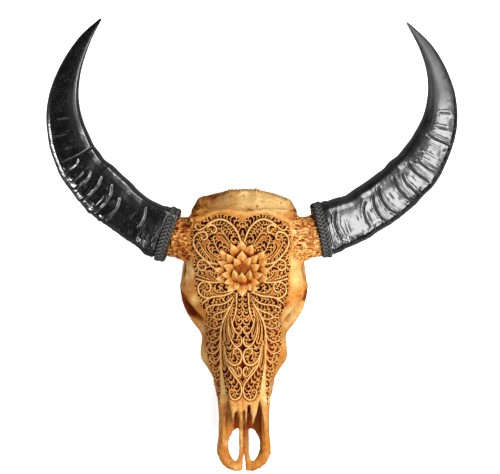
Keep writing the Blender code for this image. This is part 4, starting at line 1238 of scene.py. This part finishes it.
def distance_to(line, u, v):
    """Distance in plan from a smooth line, which side of it, and how far along it, 0 to 1."""
    path = smooth_path(line, 2.0)
    best, signed, along = np.full(len(u), 1e9), np.zeros(len(u)), np.zeros(len(u))
    for k, (a, b) in enumerate(zip(path, path[1:])):
        way = b - a
        t = np.clip(((u - a[0]) * way[0] + (v - a[1]) * way[1]) / (way @ way), 0, 1)
        off_u, off_v = u - a[0] - t * way[0], v - a[1] - t * way[1]
        distance = np.hypot(off_u, off_v)
        nearer = distance < best
        best = np.where(nearer, distance, best)
        signed = np.where(nearer, np.sign(way[0] * off_v - way[1] * off_u), signed)
        along = np.where(nearer, (k + t) / (len(path) - 1), along)
    return best, signed, along


def make_horn(name, horn, front_face, ridges, outer, seed):
    """One sheath; outer is 1 for the right horn and -1 for the left one."""
    piece, along, angle = grid_piece(HORN_RINGS, HORN_AROUND)
    piece.name = piece.data.name = name
    centres, side, up, wide, thick = horn_path(horn, HORN_RINGS + 1)
    ring_of = np.rint(along * HORN_RINGS).astype(int)
    across = np.cos(angle)
    across = np.sign(across) * np.abs(across) ** (2 / EDGE_FULLNESS)
    front = line_at(across * outer, front_face)
    back = -(np.clip(1 - np.abs(across) ** BACK_FULLNESS, 0, 1) ** (1 / BACK_FULLNESS))
    rise = np.where(np.sin(angle) >= 0, front, back)
    rise = np.where(np.abs(np.sin(angle)) < 1e-6, 0, rise)
    place = (
        centres[ring_of]
        + side[ring_of] * (across * wide[ring_of])[:, None]
        + up[ring_of] * (rise * thick[ring_of])[:, None]
    )
    put_points(piece.data, place)
    bpy.ops.object.mode_set(mode="EDIT")
    bpy.ops.mesh.select_all(action="SELECT")
    bpy.ops.mesh.remove_doubles(threshold=0.000001)
    bpy.ops.mesh.select_all(action="DESELECT")
    bpy.ops.mesh.select_non_manifold(extend=False)
    bpy.ops.mesh.edge_face_add()
    bpy.ops.mesh.select_all(action="SELECT")
    bpy.ops.mesh.normals_make_consistent(inside=False)
    bpy.ops.object.mode_set(mode="OBJECT")

    # Each point's place on the horn, found again after the merge
    points = soften(piece.data, points_of(piece.data), 3, 0.5)
    put_points(piece.data, points)
    normals = normals_of(piece.data)
    nearest_ring = np.empty(len(points), int)
    for start in range(0, len(points), 4000):
        block = points[start:start + 4000, None, :]
        nearest_ring[start:start + 4000] = ((block - centres[None, ::4]) ** 2).sum(axis=2).argmin(axis=1) * 4
    s = walked(centres)[nearest_ring] * 1000
    off = points - centres[nearest_ring]
    across = outer * (off * side[nearest_ring]).sum(axis=1) / wide[nearest_ring]
    rise = (off * up[nearest_ring]).sum(axis=1) / thick[nearest_ring]
    u, v, _ = in_mm(points)
    upper = smooth(rise, -0.35, 0.15)          # 1 on the front, 0 on the back
    outer_part = smooth(across + 0.16 * lumps(points, 0.016, seed + 11, 2), -0.38, -0.08)
    size = np.minimum(1, wide[nearest_ring] / 0.030)
    out = np.zeros(len(points))
    groove = np.zeros(len(points))
    for line, ridge in ridges:
        distance, which, t = distance_to(line, u, v)
        distance = distance + 0.5 * lumps(points, 0.006, seed + 9)
        ends = smooth(t, 0.0, 0.16) * (0.55 + 0.45 * smooth(-t, -1.0, -0.85))
        basewards = -which * outer
        if ridge > 0:                    # a crest, steep towards the base and long towards the tip
            out += 1.35 * ridge * ends * bell(distance, np.where(basewards > 0, 2.2, 5.5))
            out -= 1.1 * ends * bell(distance - 4.4, 1.6) * (basewards > 0)
            groove += 0.5 * ends * bell(distance - 4.2, 1.6) * (basewards > 0)
            continue
        # a sharp furrow between two rounded lips, and two thin ones beyond a deep one
        out += ridge * ends * (1.15 * bell(distance, 1.3) - 0.32 * bell(distance - 3.8, 1.8))
        groove += 1.4 * ends * bell(distance, 1.25)
        for apart, share in ((4.7, 0.55), (8.6, 0.38)) if ridge < -1.7 else ():
            thin = share * ends * smooth(t, 0.1, 0.3) * bell(distance - apart, 0.85) * (basewards < 0)
            out -= 1.2 * thin
            groove += 1.1 * thin
    out *= 0.30 + 0.70 * upper

    def lumps_along(bend, across_share, rise_share, size, number, octaves=2):
        """Lumps that follow the horn, longer across it the smaller the shares are."""
        places = np.column_stack([s / 1000 + bend, across_share * across, rise_share * rise])
        return lumps(places, size, seed + number, octaves)

    # Fine growth lines between them, fading towards the tip, and long soft swellings all the way round
    rings = lumps_along(0.0018 * lumps(points, 0.020, seed), 0.012, 0, 0.0034, 1)
    fine = lumps_along(0.0010 * lumps(points, 0.010, seed + 2), 0.030, 0, 0.0013, 3)
    swellings = lumps_along(0, 0.02, 0.01, 0.022, 4, 1)
    grown = smooth(-s, -330, -180)
    out += (0.55 * rings * outer_part + 0.10 * fine * outer_part) * grown
    out += 3.0 * swellings * smooth(-s, -300, -160) * smooth(s, 17, 26) * size
    out += 0.35 * lumps(points, 0.010, seed + 5, 2) * grown + 0.10 * lumps(points, 0.0035, seed + 6, 2)
    # The worn, streaky start of the sheath, which shows most on the left horn
    start_zone = smooth(-s, -58, -24)
    streaks = lumps_along(0, 0.055, 0.02, 0.0028, 7) * (0.6 if outer > 0 else 1.35)
    out += start_zone * (streaks * outer_part + 1.0 * smooth(-s, -26, -18) - 0.3)
    out += 2.2 * smooth(s, 17, 20) * smooth(-s, -36, -29)
    put_points(piece.data, points + normals * (out * size)[:, None] / 1000)
    # Dull places are the inner part, the right horn's tip and the left horn's start
    if outer > 0:
        mottled = smooth(lumps(points, 0.007, seed + 12, 3), 0.05, 0.4)
        groove += 0.75 * mottled * smooth(across, 0.25, 0.65) * smooth(s, 170, 230)
        dull = (1 - outer_part) * 0.4 + 0.8 * smooth(s, 300, 360)
    else:
        dull = (1 - outer_part) * 0.3 + 0.7 * start_zone * outer_part
    between_rings = 0.8 * smooth(-rings, 0.12, 0.55) * outer_part * grown * (1 - start_zone)
    give(piece.data, dull=dull, groove=np.clip(groove * (0.3 + 0.7 * upper) + between_rings, 0, 1))
    piece.data.shade_smooth()
    return piece


horns = {
    "left": make_horn("horn_sheath_left", LEFT_HORN, LEFT_FRONT, LEFT_RIDGES, -1, 40),
    "right": make_horn("horn_sheath_right", RIGHT_HORN, RIGHT_FRONT, RIGHT_RIDGES, 1, 60),
}

# Fine dust that the horn and the cord share
dust, entry, result = new_group(
    "fine_dust",
    (("Vector", "NodeSocketVector", None), ("Amount", "NodeSocketFloat", 0.5)),
    (("Dust", "NodeSocketFloat"), ("Height", "NodeSocketFloat")),
)
grains = noise(dust, entry.outputs["Vector"], 750.0, 2.0, 0.7)
clouds = noise(dust, entry.outputs["Vector"], 70.0, 4.0, 0.6)
speckled = times(dust, limits(dust, grains, 0.59, 0.66), limits(dust, clouds, 0.36, 0.60))
dust.links.new(times(dust, speckled, entry.outputs["Amount"]), result.inputs["Dust"])
dust.links.new(grains, result.inputs["Height"])

keratin, tree, shader, spot = new_material("black_horn")
dusted = place_group(tree, dust, spot, Amount=0.5)
cloudy = noise(tree, spot, 22.0, 5.0, 0.55)
JET, JET_RUBBED, HORN_DUST = (0.0008, 0.0008, 0.0010), (0.0035, 0.0035, 0.0034), (0.24, 0.24, 0.235)
colour = mixed(tree, limits(tree, cloudy, 0.35, 0.65), JET, JET_RUBBED)
colour = mixed(tree, dusted["Dust"], colour, HORN_DUST)
tree.links.new(colour, shader.inputs["Base Color"])
sheen = limits(tree, cloudy, 0.3, 0.7, 0.15, 0.26)
dulled = plus(tree, times(tree, stored(tree, "groove"), 0.55), times(tree, stored(tree, "dull"), 0.30))
tree.links.new(plus(tree, sheen, dulled), shader.inputs["Roughness"])
tree.links.new(limits(tree, dulled, 0.26, 0.02), shader.inputs["Coat Weight"])
shader.inputs["Specular IOR Level"].default_value = 0.95
shader.inputs["Coat Roughness"].default_value = 0.15
roughen(tree, shader, plus(tree, times(tree, dusted["Height"], 0.5), cloudy), 0.40, 0.0006)
for side, piece in horns.items():
    piece.data.materials.append(keratin)
    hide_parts(f"horn_{side}")
    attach(piece, "root")

# ---------------------------------------------------------------------------------------------
# The bands: flat plaits of three black cords, wound round the joint between each horn and its
# core and glued down, over a thin black sleeve.

BAND_LENGTH = 0.0165
CLEARANCE = 0.0006                       # between the horn and the sleeve
SLEEVE_MIDDLE, SLEEVE_THICK = 0.0010, 0.0008     # off the horn, and half the sleeve's thickness
SLEEVE_HALF = 0.0080
CROSSINGS = 12                           # times that each cord goes from side to side and back
CORD_WIDE, CORD_THICK = 0.0025, 0.0021   # half of each
CORD_MIDDLE, CORD_SWING = 0.0028, 0.0013     # off the horn, and over and under the other cords
CORD_POINTS, CORD_SIDES = 620, 12


def horn_outline(centre, side, up, wide, thick, angles):
    """The plain outline that the CAD gives the horn, as points and as directions away from it."""
    def power(value, fullness):
        return np.sign(value) * np.abs(value) ** (2 / fullness)

    rise, across = np.sin(angles), np.cos(angles)
    fullness = np.where(rise >= 0, 2.5, 1.9)
    off_side, off_up = wide * power(across, fullness), thick * power(rise, fullness)
    points = centre + side * off_side[:, None] + up * off_up[:, None]
    away = side * (across / wide)[:, None] + up * (rise / thick)[:, None]
    return points, unit(away)


def make_band(name, horn):
    """One plait round the start of the horn, and the sleeve under it."""
    centres, sides, ups, wide, thick = horn_path(horn, 181)
    reach, side, up = walked(centres), sides[0], ups[0]

    def on_horn(along, angles, out):
        """Points this far along the horn, round it and out from it."""
        angles, along = np.broadcast_arrays(angles, along)
        at = np.column_stack([np.interp(along, reach, centres[:, k]) for k in range(3)])
        half_wide, half_thick = np.interp(along, reach, wide), np.interp(along, reach, thick)
        points, away = horn_outline(at, side, up, half_wide, half_thick, angles)
        return points + away * np.broadcast_to(out, len(points))[:, None]

    # Angles that step evenly round the outline
    rough = np.linspace(0, 2 * math.pi, 2001)
    lengths = walked(on_horn(np.full(2001, BAND_LENGTH / 2), rough, 0.002))

    def angle_at(share):
        return np.interp(np.mod(share, 1.0) * lengths[-1], lengths, rough)

    pieces = []
    for number in range(3):
        share = np.arange(CORD_POINTS) / CORD_POINTS
        turn = share * CROSSINGS * 2 * math.pi + number * 2 * math.pi / 3
        along = BAND_LENGTH / 2 + (BAND_LENGTH / 2 - CORD_WIDE * 0.80) * np.sin(turn)
        out = CLEARANCE + CORD_MIDDLE + CORD_SWING * np.sin(2 * turn)
        path = on_horn(along, angle_at(share), out)
        _, away = horn_outline(path * 0, side, up, 1.0, 0.75, angle_at(share))
        forward = unit(np.roll(path, -1, axis=0) - np.roll(path, 1, axis=0))
        sideways = unit(np.cross(away, forward))
        away = np.cross(forward, sideways)
        strand, share, angle = grid_piece(CORD_POINTS, CORD_SIDES)
        i = np.rint(share * CORD_POINTS).astype(int) % CORD_POINTS
        twist = 1 + 0.07 * np.cos(3 * angle + i * 2 * math.pi * 4 * CROSSINGS / CORD_POINTS * 3)
        across = sideways[i] * (np.cos(angle) * CORD_WIDE * twist)[:, None]
        put_points(strand.data, path[i] + across + away[i] * (np.sin(angle) * CORD_THICK * twist)[:, None])
        give(strand.data, round_it=angle / (2 * math.pi))
        pieces.append(strand)
    # The sleeve under them
    sleeve, share, angle = grid_piece(160, 12)
    along = BAND_LENGTH / 2 + SLEEVE_HALF * np.clip(np.cos(angle) * 1.3, -1, 1)
    out = CLEARANCE + SLEEVE_MIDDLE + SLEEVE_THICK * np.clip(np.sin(angle) * 1.6, -1, 1)
    put_points(sleeve.data, on_horn(along, angle_at(share), out))
    give(sleeve.data, round_it=0.5)
    band = pieces[0]
    pick(*pieces, sleeve)
    bpy.ops.object.join()
    band.name = band.data.name = name
    bpy.ops.object.mode_set(mode="EDIT")
    bpy.ops.mesh.select_all(action="SELECT")
    bpy.ops.mesh.remove_doubles(threshold=0.000002)
    bpy.ops.mesh.normals_make_consistent(inside=False)
    bpy.ops.object.mode_set(mode="OBJECT")
    band.data.shade_smooth()
    return band


cord, tree, shader, spot = new_material("black_cord")
dusted = place_group(tree, dust, spot, Amount=0.35)
yarn = noise(tree, spot, 700.0, 3.0, 0.7)
crown = math_of(tree, "SINE", times(tree, stored(tree, "round_it"), 6.2832), 0.0)
strand = limits(tree, crown, 0.72, 1.0)  # painted highlight on the top of each cord
YARN_BLACK, YARN_FADED = (0.0012, 0.0012, 0.0014), (0.006, 0.006, 0.006)
YARN_HIGHLIGHT, YARN_DUST = (0.11, 0.107, 0.102), (0.17, 0.165, 0.155)
colour = mixed(tree, limits(tree, yarn, 0.3, 0.7), YARN_BLACK, YARN_FADED)
colour = mixed(tree, times(tree, strand, limits(tree, yarn, 0.35, 0.6)), colour, YARN_HIGHLIGHT)
colour = mixed(tree, dusted["Dust"], colour, YARN_DUST)
tree.links.new(colour, shader.inputs["Base Color"])
tree.links.new(limits(tree, yarn, 0.0, 1.0, 0.55, 0.75), shader.inputs["Roughness"])
roughen(tree, shader, yarn, 0.5, 0.0006)
for side, horn in (("left", LEFT_HORN), ("right", RIGHT_HORN)):
    band = make_band(f"plaited_band_{side}", horn)
    band.data.materials.append(cord)
    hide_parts(f"band_{side}")
    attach(band, "root")

# ---------------------------------------------------------------------------------------------
# The stage: a plain pale floor that glows towards the camera, three soft lights from the right, one
# low at the left, and a camera straight above, since the photo looks at the skull's front.

bpy.ops.mesh.primitive_plane_add(size=16, location=(0, 0, 0))
floor = bpy.context.object
floor.name = "floor"
paper, tree, shader, spot = new_material("pale_paper")
cloud = noise(tree, spot, 3.0, 3.0)
pale = mixed(tree, cloud, (0.88, 0.88, 0.885), (0.90, 0.90, 0.90))
seen = add(tree, "LightPath").outputs["Is Camera Ray"]
tree.links.new(mixed(tree, seen, (0.10, 0.10, 0.10), pale), shader.inputs["Base Color"])
shader.inputs["Roughness"].default_value = 0.9
glow = mixed(tree, seen, (0.0, 0.0, 0.0), (1.0, 1.0, 1.0))
tree.links.new(glow, shader.inputs["Emission Color"])
shader.inputs["Emission Strength"].default_value = 0.80
floor.data.materials.append(paper)


def soft_light(name, place, target, size, power):
    bpy.ops.object.light_add(type="AREA", location=place)
    lamp = bpy.context.object
    lamp.name = name
    lamp.data.shape = "SQUARE"
    lamp.data.size = size
    lamp.data.energy = power
    lamp.rotation_euler = (Vector(target) - Vector(place)).to_track_quat("-Z", "Y").to_euler()


soft_light("light_right", (0.82, -0.22, 1.14), (0.2, 0.05, 0.1), 1.0, 22)
soft_light("light_upper_right", (0.7, 1.3, 1.5), (0, 0.05, 0.1), 0.8, 28)
soft_light("light_lower_right", (0.35, -1.5, 1.25), (-0.1, 0.0, 0.1), 0.5, 18)
soft_light("light_left", (-1.8, -0.2, 0.28), (-0.1, -0.1, 0.1), 0.5, 17)
world = bpy.data.worlds.new("soft_room")
world.use_nodes = True
air = world.node_tree.nodes["Background"]
air.inputs["Color"].default_value = (1, 1, 1, 1)
air.inputs["Strength"].default_value = 0.035
bpy.context.scene.world = world
bpy.context.scene.view_settings.view_transform = "Standard"

CAMERA_AIM = (-0.0037, 0.0153)
VIEW_WIDTH, VIEW_LEVEL = 0.85, 0.12      # metres that the picture is wide, and at what height
LENS, SENSOR = 600, 36                   # millimetres: a long lens, as the photo shows no nearness
camera_height = VIEW_LEVEL + VIEW_WIDTH * LENS / SENSOR
bpy.ops.object.camera_add(location=(*CAMERA_AIM, camera_height), rotation=(0, 0, 0))
camera = bpy.context.object
camera.data.lens, camera.data.sensor_width = LENS, SENSOR
camera.data.clip_end = 50
bpy.context.scene.camera = camera

bpy.context.view_layer.update()
